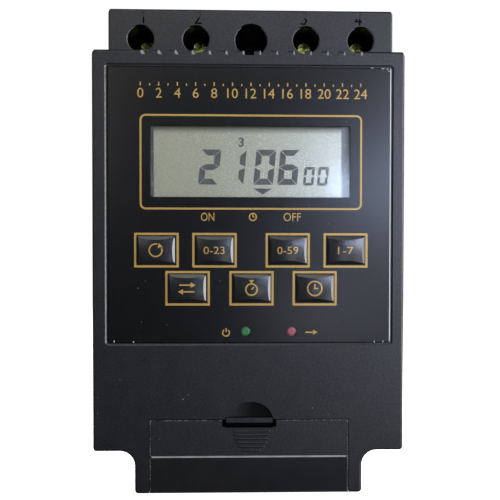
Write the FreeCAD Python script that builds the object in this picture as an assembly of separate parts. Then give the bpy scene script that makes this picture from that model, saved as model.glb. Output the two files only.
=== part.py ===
import FreeCAD, Part
import math
import os

from FreeCAD import Vector

# Electronic timer switch for a mounting rail, in millimetres.
# X is right, Y runs from the front face back to the rail, Z is up.
# The origin is the middle of the rail channel, on the back face.

# Housing
depth = 58.0
top = 60.0
foot_bottom = -60.0
terminal_end_height = 14.6
foot_height = 10.2
foot_fillet = 3.6
shelf_setback = 24.0
rear_depth = 12.0
wall = 2.0
side_margin = 8.4
corner_radius = 0.8
inner_corner = 0.3
edge_round = 0.5

# Gaps between pieces, how deep a joined piece is sunk, and how far a cut runs past a face
seat_gap = 0.05
fit_gap = 0.1
slide_gap = 0.2
free_gap = 0.3
embed = 0.5
over = 1.0

# Overlay film and its recess in the front face
recess_x = 0.2
recess_side = 3.1
recess_drop = 3.5
recess_below_leds = 3.05
recess_depth = 0.4
film_thickness = 0.3
film_margin = 0.3
film_corner = 0.6
film_edge_width = 0.25
film_edge_depth = 0.12
recess_bevel_width = 0.3
recess_bevel_depth = 0.15

# Display
display_x = 0.4
display_drop = 22.65
window_width = 47.4
window_height = 16.95
window_corner = 0.5
window_thickness = 1.2
window_border = 1.8
window_outer_corner = 1.0
glass_width = 54.0
glass_height = 19.6
glass_thickness = 2.8
holder_wall = 1.8
holder_corner = 1.0
holder_inner_corner = 0.2
zebra_width = 1.8
zebra_end_margin = 2.0

# Keys
key_width = 9.0
key_height = 6.65
key_corner = 0.4
key_gap = 0.08
key_proud = 0.7
key_shoulder = 0.45
key_slope_angle = 23.0
key_crown_radius = 40.0
key_travel = 0.4
key_flange = 0.8
key_stem_radius = 1.8
key_drop = 21.1
key_row_pitch = 9.05
upper_key_columns = {"reset_key": -22.0, "hour_key": -8.2, "minute_key": 9.25, "week_key": 23.05}
lower_key_columns = {"mode_key": -14.65, "timer_key": 0.65, "clock_key": 15.7}

# Indicator lamps
power_led_x = -0.65
output_led_x = 10.3
led_drop = 10.3
led_radius = 1.5
led_dome = 0.9
led_rim_radius = 1.9
led_rim_height = 1.0
led_view_radius = 1.18
led_length = 5.3
lead_size = 0.5
lead_pitch = 2.54

# Control board behind the front face
board_thickness = 1.6
board_corner = 1.0
control_setback = 12.0
control_side_gap = 2.0
control_top_gap = 1.4
control_below_leds = 6.8
control_post_side = 2.5
control_post_drop = 3.8
control_post_rise = 3.0
tact_size = 6.0
tact_corner = 0.3
tact_height = 3.5
tact_button_radius = 1.75
tact_button_height = 0.8

# Controller and crystal on the back of the control board, placed from the display's middle
chip_shift = -4.4
chip_rise = 1.0
chip_size = 10.0
chip_height = 1.4
chip_corner = 0.3
chip_pin_count = 11
chip_pin_pitch = 0.8
chip_pin_width = 0.5
chip_pin_height = 0.5
chip_pin_length = 1.2
crystal_shift = 11.6
crystal_rise = 7.0
crystal_radius = 1.55
crystal_length = 8.2
crystal_lead_radius = 0.2
crystal_lead_length = 3.0
crystal_lead_spread = 0.6

# Link between the two boards: a header on each and a flat ribbon across
link_x = 22.0
link_rise = 7.0
link_half_width = 6.0
header_height = 2.5
ribbon_half_width = 5.0
ribbon_thickness = 0.8

# Power board in front of the rail channel
power_setback = 1.0
power_side_gap = 1.5
power_top_gap = 0.8
power_above_screws = 6.5
power_post_side = 3.5
power_post_drop = 12.6
power_post_rise = 5.0
post_radius = 2.8

# Small board screws
board_screw_radius = 1.05
board_screw_head = 2.0
board_screw_head_height = 1.4
board_screw_round = 0.4
board_screw_length = 6.5
board_screw_reserve = 1.0
board_post_wall = 1.5

# Screws that close the housing
case_screw_radius = 1.25
case_screw_head = 2.3
case_screw_head_height = 1.8
case_screw_round = 0.5
case_screw_sink = 1.6
case_screw_length = 20.0
case_screw_reserve = 1.2
case_screw_wall = 1.0
case_screw_side = 5.0
case_screw_rise = 5.3
cross_share = 0.7
cross_depth = 0.8

# Terminals behind the shelf
terminal_drop = 7.75
terminal_back_wall = 1.4
access_radius = 3.45
access_chamfer = 0.28
access_wall = 1.3
collar_radius = 1.75
collar_height = 1.8
bay_web = 0.45
clamp_travel = 4.0
cage_half_width = 4.1
cage_height = 7.0
cage_corner = 0.6
cage_front_plate = 2.0
cage_rear_plate = 1.2
cage_side = 1.1
bar_thickness = 1.2
bar_half_width = 2.2
bar_above_cage = 1.0
bar_pin_half_width = 1.2
bar_pin_through = 0.6
bar_clearance = 1.1
terminal_head_radius = 2.8
terminal_head_height = 2.4
terminal_head_round = 0.4
terminal_shank_radius = 1.75
thread_gap = 0.05
driver_slot = 0.8
driver_slot_share = 0.85
driver_slot_depth = 1.1
wire_half_width = 3.0
wire_corner = 0.6

# Fixing hole through the middle of the terminal end
fixing_access_radius = 4.15
fixing_hole_radius = 1.75
fixing_drop = 7.95

# Vent slots across the top of the raised body
vent_count = 13
vent_pitch = 4.0
vent_width = 2.36
vent_notch = 1.1
vent_margin = 4.0

# Marks pressed in beside the terminals
mark_height = 2.8
mark_stroke = 0.42
mark_depth = 0.25
mark_shift = 0.6
mark_drop = 2.2

# Battery and its cover
battery_length = 44.5
battery_radius = 5.25
battery_button_radius = 1.9
battery_button_height = 0.8
contact_room = 2.85
bay_wall = 1.6
cover_x = 0.15
cover_side = 3.4
cover_height = 17.6
cover_corner = 0.3
cover_thickness = 1.7
cover_gap = 0.15
cover_rail = 0.8
cover_rail_thickness = 0.9
cover_rail_drop = 1.0
latch_x = 0.15
latch_half_width = 5.55
latch_height = 1.2
latch_rise = 0.45
latch_sink = 0.4
latch_gap_side = 0.9
latch_gap_drop = 1.7
latch_leaf = 1.0
latch_leaf_drop = 2.0
scoop_x = 0.5
scoop_half_width = 5.4
scoop_height = 4.4
scoop_overlap = 0.55
scoop_depth = 1.0
grip_x = 0.7
grip_half_width = 4.1
grip_drop = 2.2
grip_height = 5.8
rib_count = 6
rib_pitch = 0.93
rib_radius = 0.3
label_side = 0.45
label_rise = 0.7
label_height = 8.0
label_corner = 0.3
label_thickness = 0.25
label_recess = 0.15
contact_thickness = 0.4
contact_height = 10.0
contact_width = 7.0
contact_leaf_inset = 1.0
contact_leaf_thickness = 0.5
contact_tab_width = 2.6
contact_tab_lap = 4.0

# Rail channel, rail latch and its spring
rail_half_height = 17.5
rail_play = 0.4
channel_depth = 5.2
flange_slot = 1.5
hook_bite = 1.6
channel_wall = 2.0
channel_upper_wall = 5.3
channel_lower_wall = 5.1
clip_half_width = 11.05
clip_thickness = 2.5
clip_corner = 0.8
clip_back_setback = 1.4
clip_travel = 4.5
clip_rise = 0.6
clip_opening_half_width = 8.0
clip_window_half_width = 2.6
clip_window_drop = 8.1
clip_pull_half_width = 3.0
clip_pull_height = 1.6
clip_pull_rise = 1.6
clip_pull_corner = 0.6
clip_lead_depth = 1.5
clip_lead_height = 2.0
lug_height = 2.0
lug_half_width = 2.0
spring_radius = 1.8
spring_wire = 0.5
spring_turns = 8
spring_reserve = 5.5
guide_wall = 2.85

# Relay on the power board, placed from the board's upper left corner
relay_from_side = 19.0
relay_from_top = 31.1
relay_length = 31.0
relay_width = 26.0
relay_base_height = 1.6
relay_case_height = 18.4
relay_case_wall = 1.0
relay_case_corner = 1.0
relay_case_inner_corner = 0.4
relay_case_round = 0.6
yoke_thickness = 1.6
yoke_half_width = 7.0
core_radius = 2.6
core_length = 12.1
core_offset = 1.0
core_face = 1.0
winding_radius = 6.4
bobbin_wall = 0.7
bobbin_flange_radius = 7.2
bobbin_flange = 1.0
hinge_offset = 9.2
hinge_gap = 0.15
armature_thickness = 1.3
armature_half_width = 6.5
armature_tip = 8.5
armature_heel = 1.0
contact_radius = 1.5
contact_arm = 21.2
contact_leaf = 0.3
contact_leaf_half_width = 2.5
contact_leaf_past = 1.2
contact_leaf_lap = 2.5
contact_rivet = 0.7
contact_blade = 0.5
contact_post = 0.6
contact_fixed_rivet = 0.6
contact_seat = 0.3
contact_spread = 5.5
contact_near = 1.5
contact_far = 2.8
relay_travel_degrees = 3.5

# Small parts on the power board, each placed from the board's upper left corner
component_lead = 0.35
component_gap = 0.3
film_capacitor_length = 18.0
film_capacitor_height = 8.0
film_capacitor_depth = 12.5
film_capacitor_corner = 0.8
film_capacitor_round = 0.6
film_capacitor_from_side = 51.5
film_capacitor_from_top = 6.6
film_capacitor_pitch = 15.0
film_capacitor_seat = 0.5
large_can_radius = 5.0
large_can_height = 16.0
large_can_from_side = 47.5
large_can_from_top = 22.6
small_can_radius = 4.0
small_can_height = 12.0
small_can_from_side = 59.5
small_can_from_top = 21.6
can_round = 0.5
axial_lead_reach = 2.5
diode_count = 4
diode_pitch = 5.0
diode_radius = 1.35
diode_length = 5.2
diode_from_side = 41.5
diode_from_top = 44.6
resistor_count = 3
resistor_pitch = 6.0
resistor_radius = 1.25
resistor_length = 6.4
resistor_from_side = 7.5
resistor_from_top = 54.6
varistor_radius = 4.5
varistor_thickness = 4.0
varistor_from_side = 34.5
varistor_from_top = 8.6
varistor_seat = 1.0
varistor_lead_spread = 2.0
fuse_radius = 4.2
fuse_height = 7.7
fuse_round = 0.6
fuse_from_side = 20.5
fuse_from_top = 9.6
fuse_lead_spread = 2.54
transistor_radius = 2.4
transistor_height = 4.6
transistor_flat = 1.2
transistor_from_side = 29.5
transistor_from_top = 54.6
transistor_seat = 1.5
transistor_lead_spread = 1.27

# Places worked out from the sizes above
bay_half_width = cage_half_width + slide_gap
terminal_pitch = 2 * (bay_half_width + bay_web + fit_gap + case_screw_head)
half_width = 2 * terminal_pitch + side_margin
front = -depth
front_inner = front + wall
shelf_front = front + shelf_setback
split = -rear_depth
body_top = top - terminal_end_height
body_bottom = foot_bottom + foot_height
floor_bottom = body_top - wall
bay_ceiling = top - wall
bay_half_length = battery_length / 2 + contact_room
foot_half_width = bay_half_length + wall

recess_top = body_top - recess_drop
display_z = recess_top - display_drop
upper_key_z = display_z - key_drop
lower_key_z = upper_key_z - key_row_pitch
led_z = lower_key_z - led_drop
recess_bottom = led_z - recess_below_leds
recess_half_width = half_width - recess_side
recess_height = recess_top - recess_bottom
recess_z = (recess_top + recess_bottom) / 2
film_back = front + recess_depth
film_front = film_back - film_thickness
key_places = {name: (x, upper_key_z) for name, x in upper_key_columns.items()}
key_places.update({name: (x, lower_key_z) for name, x in lower_key_columns.items()})

terminal_z = top - terminal_drop
fixing_z = top - fixing_drop
mark_z = top - mark_drop
terminal_numbers = [-2, -1, 1, 2]
terminal_places = [number * terminal_pitch for number in terminal_numbers]
upper_case_screw_x = 1.5 * terminal_pitch
lower_case_screw_x = half_width - case_screw_side
lower_case_screw_z = body_bottom + case_screw_rise
case_screw_seat = -case_screw_sink - case_screw_head_height

control_front = front + control_setback
control_back = control_front + board_thickness
control_half_width = half_width - wall - control_side_gap
control_top = floor_bottom - control_top_gap
control_bottom = led_z - control_below_leds
control_post_x = control_half_width - control_post_side
control_upper_z = control_top - control_post_drop
control_lower_z = control_bottom + control_post_rise
power_back = split + power_setback
power_front = power_back - board_thickness
power_half_width = half_width - wall - power_side_gap
power_top = floor_bottom - power_top_gap
power_bottom = lower_case_screw_z + power_above_screws
power_post_x = power_half_width - power_post_side
power_upper_z = power_top - power_post_drop
power_lower_z = power_bottom + power_post_rise
link_z = control_bottom + link_rise

cage_back = -terminal_back_wall - slide_gap
wire_back = cage_back - cage_rear_plate
bar_back = wire_back - clamp_travel - slide_gap
bar_front = bar_back - bar_thickness
cage_window_front = bar_front - bar_clearance
cage_front = cage_window_front - cage_front_plate
head_back = cage_front - clamp_travel - free_gap
head_front = head_back - terminal_head_height

cover_half_width = foot_half_width - cover_side
cover_top = foot_bottom + cover_height
cover_back = front + cover_thickness
latch_top = cover_top + latch_rise
latch_gap_bottom = cover_top - latch_gap_drop
leaf_back = cover_back + latch_leaf
grip_top = cover_top - grip_drop
label_left = cover_x - cover_half_width + label_side
label_right = cover_x + cover_half_width - label_side
label_bottom = foot_bottom + label_rise
label_top = label_bottom + label_height
battery_y = leaf_back + free_gap + battery_radius
battery_floor = foot_bottom + wall
battery_z = battery_floor + slide_gap + battery_radius
bay_back = battery_y + battery_radius + slide_gap
bay_top = cover_top + fit_gap
partition_top = bay_top + bay_wall
contact_outer = bay_half_length - free_gap
tab_front = control_front - contact_tab_width
battery_plus_x = contact_outer - contact_thickness - battery_button_height - seat_gap

channel_front = -channel_depth
channel_bottom = -rail_half_height - rail_play
lip_edge = rail_half_height - hook_bite
flange_pocket_top = rail_half_height + hook_bite - rail_play
hook_front = channel_front + flange_slot
clip_back = -clip_back_setback
clip_front = clip_back - clip_thickness
clip_bottom = foot_bottom + clip_rise
clip_window_top = channel_bottom - clip_window_drop
hook_top = -rail_half_height + hook_bite
guide_front = clip_front - fit_gap - guide_wall
guide_half_width = clip_half_width + guide_wall
spring_y = (clip_front + clip_back) / 2
spring_pocket_front = spring_y - spring_radius - spring_wire / 2 - free_gap
spring_length = spring_turns * spring_wire + clip_travel + spring_reserve
lug_top = clip_window_top - spring_length
lug_bottom = lug_top - lug_height

relay_x = -power_half_width + relay_from_side
relay_z = power_top - relay_from_top
relay_floor = power_front - relay_base_height
core_front = relay_floor - yoke_thickness - core_length
core_reach = hinge_offset + core_offset + core_radius
armature_gap = core_reach * math.sin(math.radians(relay_travel_degrees)) + seat_gap
armature_back = core_front - armature_gap
armature_front = armature_back - armature_thickness
hinge_x = relay_x + hinge_offset
hinge_radius = yoke_thickness / 2
hinge_y = armature_back + hinge_gap + hinge_radius
contact_x = hinge_x - contact_arm


def box(x0, x1, y0, y1, z0, z1):
    return Part.makeBox(x1 - x0, y1 - y0, z1 - z0, Vector(x0, y0, z0))


def rod_y(x, z, radius, y0, y1):
    return Part.makeCylinder(radius, y1 - y0, Vector(x, y0, z), Vector(0, 1, 0))


def rod_x(y, z, radius, x0, x1):
    return Part.makeCylinder(radius, x1 - x0, Vector(x0, y, z), Vector(1, 0, 0))


def rod_z(x, y, radius, z0, z1):
    return Part.makeCylinder(radius, z1 - z0, Vector(x, y, z0), Vector(0, 0, 1))


def cone_y(x, z, radius0, radius1, y0, y1):
    return Part.makeCone(radius0, radius1, y1 - y0, Vector(x, y0, z), Vector(0, 1, 0))


def join(first, *others):
    return first.fuse(list(others)).removeSplitter()


def profile(points, radii, y):
    """A closed wire through (x, z) points, each corner rounded by its radius."""
    count = len(points)
    corners = [Vector(x, y, z) for x, z in points]
    spans = []
    arcs = []
    for i in range(count):
        corner = corners[i]
        if radii[i] <= 0:
            spans.append((corner, corner))
            arcs.append(None)
            continue
        before = (corners[i - 1] - corner).normalize()
        after = (corners[(i + 1) % count] - corner).normalize()
        half_angle = before.getAngle(after) / 2
        reach = radii[i] / math.tan(half_angle)
        start = corner + before * reach
        end = corner + after * reach
        middle_way = (before + after).normalize()
        middle = corner + middle_way * (radii[i] / math.sin(half_angle) - radii[i])
        spans.append((start, end))
        arcs.append(Part.Arc(start, middle, end).toShape())
    edges = []
    for i in range(count):
        if arcs[i] is not None:
            edges.append(arcs[i])
        start = spans[i][1]
        end = spans[(i + 1) % count][0]
        if start.distanceToPoint(end) > 1e-6:
            edges.append(Part.makeLine(start, end))
    return Part.Wire(edges)


def plate(points, radii, y0, y1):
    """The outline of profile(), thickened from y0 back to y1."""
    return Part.Face(profile(points, radii, y0)).extrude(Vector(0, y1 - y0, 0))


def slab(x0, x1, z0, z1, y0, y1, radius):
    """A rectangle with four equal round corners, thickened along Y."""
    points = [(x0, z0), (x1, z0), (x1, z1), (x0, z1)]
    return plate(points, [radius] * 4, y0, y1)


def slab_z(x0, x1, y0, y1, z0, z1, radius):
    """A rectangle with round corners, thickened upwards."""
    shape = box(x0, x1, y0, y1, z0, z1)
    upright = [edge for edge in shape.Edges if abs(edge.Vertexes[0].Z - edge.Vertexes[1].Z) > 1e-6]
    return shape.makeFillet(radius, upright)


def centred_slab(x, z, length, height, y0, y1, radius):
    return slab(x - length / 2, x + length / 2, z - height / 2, z + height / 2, y0, y1, radius)


def beveled_slab(x, z, length, height, y0, y1, radius, bevel_width, bevel_depth):
    """A slab whose front at y0 is drawn in by a bevel; a negative width lets it flare."""
    shoulder = y0 + bevel_depth
    body = centred_slab(x, z, length, height, shoulder, y1, radius)
    outlines = []
    for inset, y in ((bevel_width, y0), (0.0, shoulder)):
        x0 = x - length / 2 + inset
        x1 = x + length / 2 - inset
        z0 = z - height / 2 + inset
        z1 = z + height / 2 - inset
        corner = max(radius - inset, radius / 2)
        outlines.append(profile([(x0, z0), (x1, z0), (x1, z1), (x0, z1)], [corner] * 4, y))
    return body.fuse(Part.makeLoft(outlines, True, True)).removeSplitter()


def round_face(shape, y, radius, above=None):
    """Round the edges that lie wholly in the plane at y, and above a height if one is given."""
    edges = []
    for edge in shape.Edges:
        if any(abs(vertex.Y - y) > 1e-6 for vertex in edge.Vertexes):
            continue
        if abs(edge.CenterOfMass.y - y) > 1e-6:
            continue
        if above is not None and edge.CenterOfMass.z < above:
            continue
        edges.append(edge)
    return shape.makeFillet(radius, edges)


def half_ellipse(x, half_width, z, height, y0, y1):
    """A half ellipse that stands on a straight base, thickened along Y; negative height hangs."""
    tip = Vector(x, y0, z + height)
    shoulder = math.sqrt(0.5)
    left = Vector(x - half_width, y0, z)
    right = Vector(x + half_width, y0, z)
    left_middle = Vector(x - half_width * shoulder, y0, z + height * shoulder)
    right_middle = Vector(x + half_width * shoulder, y0, z + height * shoulder)
    edges = [
        Part.Arc(left, left_middle, tip).toShape(),
        Part.Arc(tip, right_middle, right).toShape(),
        Part.makeLine(right, left),
    ]
    return Part.Face(Part.Wire(edges)).extrude(Vector(0, y1 - y0, 0))


def housing_block(y0, y1, inset):
    """The outline of the raised body and its foot, drawn in by a wall."""
    side = half_width - inset
    foot = foot_half_width - inset
    points = [
        (-side, body_top - inset),
        (side, body_top - inset),
        (side, body_bottom + inset),
        (foot, body_bottom + inset),
        (foot, foot_bottom + inset),
        (-foot, foot_bottom + inset),
        (-foot, body_bottom + inset),
        (-side, body_bottom + inset),
    ]
    convex = max(corner_radius - inset, inner_corner)
    concave = foot_fillet + inset
    radii = [convex, convex, convex, concave, convex, convex, concave, convex]
    return plate(points, radii, y0, y1)


def terminal_end(y0, y1):
    """The block behind the shelf, which starts a little below the top of the raised body."""
    points = [
        (-half_width, floor_bottom - wall),
        (half_width, floor_bottom - wall),
        (half_width, top),
        (-half_width, top),
    ]
    return plate(points, [0, 0, corner_radius, corner_radius], y0, y1)


def case_screw_places():
    return [
        (-upper_case_screw_x, terminal_z),
        (upper_case_screw_x, terminal_z),
        (-lower_case_screw_x, lower_case_screw_z),
        (lower_case_screw_x, lower_case_screw_z),
    ]


def control_screw_places():
    places = []
    for x in (-control_post_x, control_post_x):
        for z in (control_lower_z, control_upper_z):
            places.append((x, z))
    return places


def power_screw_places():
    places = []
    for x in (-power_post_x, power_post_x):
        for z in (power_lower_z, power_upper_z):
            places.append((x, z))
    return places


# Strokes of the terminal marks, on a grid one unit high and half a unit wide
mark_strokes = {
    1: [[(-0.12, 0.3), (0.05, 0.5), (0.05, -0.5)]],
    2: [[(-0.25, 0.3), (-0.1, 0.5), (0.12, 0.5), (0.25, 0.28), (-0.25, -0.5), (0.27, -0.5)]],
    3: [[(-0.25, 0.5), (0.25, 0.5), (0.0, 0.12), (0.25, -0.15), (0.12, -0.5), (-0.25, -0.45)]],
    4: [[(0.12, -0.5), (0.12, 0.5), (-0.28, -0.2), (0.3, -0.2)]],
}


def terminal_mark(number, x):
    """The grooves of one numeral pressed into the shelf."""
    y0 = shelf_front - mark_depth
    y1 = shelf_front + mark_depth
    grooves = []
    for stroke in mark_strokes[number]:
        spots = [(x + u * mark_height, mark_z + v * mark_height) for u, v in stroke]
        for spot in spots:
            grooves.append(rod_y(spot[0], spot[1], mark_stroke / 2, y0, y1))
        for start, end in zip(spots, spots[1:]):
            run = Vector(end[0] - start[0], 0, end[1] - start[1])
            side = Vector(-run.z, 0, run.x).normalize() * (mark_stroke / 2)
            a = Vector(start[0], y0, start[1])
            b = Vector(end[0], y0, end[1])
            wire = Part.makePolygon([a + side, b + side, b - side, a - side, a + side])
            grooves.append(Part.Face(wire).extrude(Vector(0, y1 - y0, 0)))
    return grooves[0].fuse(grooves[1:])


def vent_slots():
    """Grooves along the top of the raised body, each open to the inside in its middle."""
    cuts = []
    for i in range(vent_count):
        x = (i - (vent_count - 1) / 2) * vent_pitch
        x0 = x - vent_width / 2
        x1 = x + vent_width / 2
        groove_floor = body_top - vent_notch
        cuts.append(box(x0, x1, front - over, shelf_front, groove_floor, body_top + over))
        through_front = front + vent_margin
        through_back = shelf_front - vent_margin
        cuts.append(box(x0, x1, through_front, through_back, floor_bottom - over, body_top + over))
    return cuts


def front_housing():
    shell = round_face(housing_block(front, split, 0), front, edge_round)
    shelf = round_face(terminal_end(shelf_front, split), shelf_front, edge_round, floor_bottom)
    shell = shell.fuse(shelf)

    # Inside of the body, less the walls of the battery bay
    inside = housing_block(front_inner, split + over, wall)
    bay_block_half = bay_half_length + bay_wall
    bay_block = box(
        -bay_block_half, bay_block_half, front, bay_back + bay_wall, foot_bottom, partition_top)
    shell = shell.cut(inside.cut(bay_block))
    bay = box(-bay_half_length, bay_half_length, cover_back, bay_back, battery_floor, bay_top)
    shell = shell.cut(bay)

    # Terminal end, cored out behind the shelf
    cores = []
    for x in terminal_places:
        x0 = x - bay_half_width
        x1 = x + bay_half_width
        cores.append(box(x0, x1, shelf_front + wall, split + over, body_top, bay_ceiling))
    shell = shell.cut(cores)
    tube_radius = access_radius + access_wall
    tube_front = shelf_front + embed
    shell = shell.fuse([rod_y(x, terminal_z, tube_radius, tube_front, head_back) for x in terminal_places])
    chamfer_back = shelf_front + access_chamfer
    collar_back = head_front - slide_gap
    collar_front = collar_back - collar_height
    shafts = []
    for x in terminal_places:
        rim = access_radius + access_chamfer
        shafts.append(rod_y(x, terminal_z, access_radius, shelf_front - over, collar_front))
        shafts.append(cone_y(x, terminal_z, rim, access_radius, shelf_front, chamfer_back))
        shafts.append(rod_y(x, terminal_z, collar_radius, shelf_front, head_front))
        shafts.append(rod_y(x, terminal_z, access_radius, collar_back, head_back + over))
    rim = fixing_access_radius + access_chamfer
    shafts.append(rod_y(0, fixing_z, fixing_access_radius, shelf_front - over, split + over))
    shafts.append(cone_y(0, fixing_z, rim, fixing_access_radius, shelf_front, chamfer_back))
    shell = shell.cut(shafts)

    # Posts for the housing screws and the control board
    posts = []
    holes = []
    post = case_screw_radius + case_screw_wall
    for x, z in case_screw_places():
        if z < 0:
            posts.append(rod_y(x, z, post + case_screw_wall, shelf_front, split))
        pilot_front = case_screw_seat - case_screw_length - case_screw_reserve
        holes.append(rod_y(x, z, case_screw_radius + seat_gap, pilot_front, split + over))
    board_post = board_screw_radius + board_post_wall
    board_pilot_front = control_back - board_screw_length - board_screw_reserve
    for x, z in control_screw_places():
        posts.append(rod_y(x, z, board_post, front_inner - embed, control_front))
        holes.append(rod_y(x, z, board_screw_radius + seat_gap, board_pilot_front, control_front))
    shell = shell.fuse(posts).cut(holes)

    # Recess of the film, window, keys and lamps
    ahead = front - over
    within = front_inner + over
    flare = recess_bevel_width / recess_bevel_depth
    flare_depth = recess_bevel_depth + seat_gap
    cuts = [beveled_slab(
        recess_x, recess_z, 2 * recess_half_width, recess_height, front - seat_gap, film_back,
        film_corner, -flare * flare_depth, flare_depth)]
    pocket_width = window_width + 2 * window_border + 2 * fit_gap
    pocket_height = window_height + 2 * window_border + 2 * fit_gap
    pocket_back = film_back + window_thickness + seat_gap
    cuts.append(centred_slab(
        display_x, display_z, pocket_width, pocket_height, ahead, pocket_back, window_outer_corner))
    cuts.append(centred_slab(
        display_x, display_z, window_width, window_height, ahead, within, window_corner))
    cuts += key_holes(ahead, within)
    for x in (power_led_x, output_led_x):
        cuts.append(rod_y(x, led_z, led_radius + fit_gap, ahead, within))
    shell = shell.cut(cuts)

    # Opening of the battery cover, its side grooves, the finger scoop, and the latch's notch and way out
    opening_half = cover_half_width + cover_gap
    opening_top = cover_top + 2 * fit_gap
    below = foot_bottom - over
    behind = cover_back + fit_gap
    cuts = [box(cover_x - opening_half, cover_x + opening_half, ahead, behind, below, opening_top)]
    groove_half = opening_half + cover_rail
    groove_front = cover_back - cover_rail_thickness - fit_gap
    groove_top = cover_top - cover_rail_drop + slide_gap
    cuts.append(box(cover_x - groove_half, cover_x + groove_half, groove_front, behind, below, groove_top))
    scoop_base = latch_top - scoop_overlap
    cuts.append(half_ellipse(
        scoop_x, scoop_half_width, scoop_base, scoop_height, ahead, front + scoop_depth))
    notch_half = latch_half_width + slide_gap
    notch_back = leaf_back + fit_gap
    notch_top = latch_top + slide_gap
    cuts.append(box(
        latch_x - notch_half, latch_x + notch_half, ahead, notch_back, cover_top - fit_gap, notch_top))
    cuts.append(box(
        latch_x - notch_half, latch_x + notch_half, ahead, notch_back, below, battery_floor + over))
    shell = shell.cut(cuts)

    # Slots for the solder tabs of the battery contacts
    for side in (-1, 1):
        x0 = side * contact_outer
        x1 = side * (contact_outer - contact_thickness)
        low = min(x0, x1) - fit_gap
        high = max(x0, x1) + fit_gap
        slot_back = control_front + fit_gap
        shell = shell.cut(box(
            low, high, tab_front - fit_gap, slot_back, bay_top - over, partition_top + over))

    for number, x in enumerate(terminal_places):
        shift = -math.copysign(mark_shift, x)
        shell = shell.cut(terminal_mark(number + 1, x + shift))
    return shell.cut(vent_slots()).removeSplitter()


def rear_housing():
    shell = housing_block(split, 0, 0).fuse(terminal_end(split, 0))
    inside = housing_block(split - over, -wall, wall)
    channel_block = box(
        -half_width, half_width, channel_front - channel_wall, 0,
        channel_bottom - channel_lower_wall, flange_pocket_top + channel_upper_wall)
    guide_block = box(-guide_half_width, guide_half_width, guide_front, 0, foot_bottom, channel_bottom)
    shell = shell.cut(inside.cut([channel_block, guide_block]))

    # Rail channel with the fixed lip above, and the way of the latch below
    past = half_width + over
    cuts = [box(-past, past, channel_front, over, channel_bottom, lip_edge)]
    cuts.append(box(-past, past, channel_front, hook_front, lip_edge - over, flange_pocket_top))
    way_half = clip_half_width + fit_gap
    way_front = clip_front - fit_gap
    way_back = clip_back + fit_gap
    below = foot_bottom - over
    cuts.append(box(-way_half, way_half, way_front, way_back, below, channel_bottom + over))
    open_half = clip_opening_half_width
    cuts.append(box(-open_half, open_half, way_front, over, below, channel_bottom + over))
    pocket_half = spring_radius + spring_wire / 2 + free_gap
    pocket_top = clip_window_top + free_gap
    cuts.append(box(
        -pocket_half, pocket_half, spring_pocket_front, way_front + over, lug_bottom, pocket_top))
    shell = shell.cut(cuts)
    lug = box(-lug_half_width, lug_half_width, spring_pocket_front - embed, clip_back, lug_bottom, lug_top)
    shell = shell.fuse(lug)

    # Terminal bays, wire entries, bar slots and the fixing hole
    cuts = []
    for x in terminal_places:
        x0 = x - bay_half_width
        x1 = x + bay_half_width
        cuts.append(box(x0, x1, split - over, -terminal_back_wall, body_top, bay_ceiling))
        wire0 = bar_back - fit_gap
        wire1 = wire_back + fit_gap
        cuts.append(slab_z(
            x - wire_half_width, x + wire_half_width, wire0, wire1,
            bay_ceiling - over, top + over, wire_corner))
        slot_half = bar_half_width + fit_gap
        slot_front = bar_front - fit_gap
        slot_back = bar_back + fit_gap
        cuts.append(box(
            x - slot_half, x + slot_half, slot_front, slot_back, floor_bottom - over, body_top + over))
    cuts.append(rod_y(0, fixing_z, fixing_access_radius, split - over, -wall))
    cuts.append(rod_y(0, fixing_z, fixing_hole_radius, -wall - over, over))
    shell = shell.cut(cuts)

    # Screw columns with sunk heads, and posts of the power board
    column = case_screw_head + fit_gap + case_screw_wall
    posts = []
    holes = []
    for x, z in case_screw_places():
        if z < 0:
            posts.append(rod_y(x, z, column, split, 0))
        holes.append(rod_y(x, z, case_screw_radius + fit_gap, split - over, over))
        holes.append(rod_y(x, z, case_screw_head + fit_gap, case_screw_seat, over))
    for x, z in power_screw_places():
        posts.append(rod_y(x, z, post_radius, power_back, -wall + embed))
        pilot_back = power_front + board_screw_length + board_screw_reserve
        holes.append(rod_y(x, z, board_screw_radius + seat_gap, power_front, pilot_back))
    shell = shell.fuse(posts).cut(holes)
    outside = housing_block(split, 0, 0).fuse(terminal_end(split, 0))
    return shell.common(outside).removeSplitter()


def housing_screws():
    screws = []
    for x, z in case_screw_places():
        head = rod_y(x, z, case_screw_head, case_screw_seat, -case_screw_sink)
        head = round_face(head, -case_screw_sink, case_screw_round)
        shank = rod_y(x, z, case_screw_radius, case_screw_seat - case_screw_length, case_screw_seat)
        reach = case_screw_head * cross_share
        cross = cross_recess(x, z, reach, -case_screw_sink - cross_depth, -case_screw_sink + over)
        screws.append(join(head, shank).cut(cross))
    return Part.makeCompound(screws)


def cross_recess(x, z, reach, y0, y1):
    """Two crossed slots for a screwdriver."""
    across = box(x - reach, x + reach, y0, y1, z - driver_slot / 2, z + driver_slot / 2)
    upright = box(x - driver_slot / 2, x + driver_slot / 2, y0, y1, z - reach, z + reach)
    return across.fuse(upright)


def board_screw(x, z, seat, way):
    """A small screw whose head lies on a board at seat; its shank runs forwards or back."""
    head_end = seat - way * board_screw_head_height
    tip = seat + way * board_screw_length
    head = rod_y(x, z, board_screw_head, min(seat, head_end), max(seat, head_end))
    head = round_face(head, head_end, board_screw_round)
    shank = rod_y(x, z, board_screw_radius, min(seat, tip), max(seat, tip))
    mouth = head_end + way * cross_depth
    cross = cross_recess(x, z, board_screw_head * cross_share, min(head_end, mouth), max(head_end, mouth))
    return join(head, shank).cut(cross)


def board_screws():
    screws = [board_screw(x, z, control_back, -1) for x, z in control_screw_places()]
    screws += [board_screw(x, z, power_front, 1) for x, z in power_screw_places()]
    return Part.makeCompound(screws)


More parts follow.
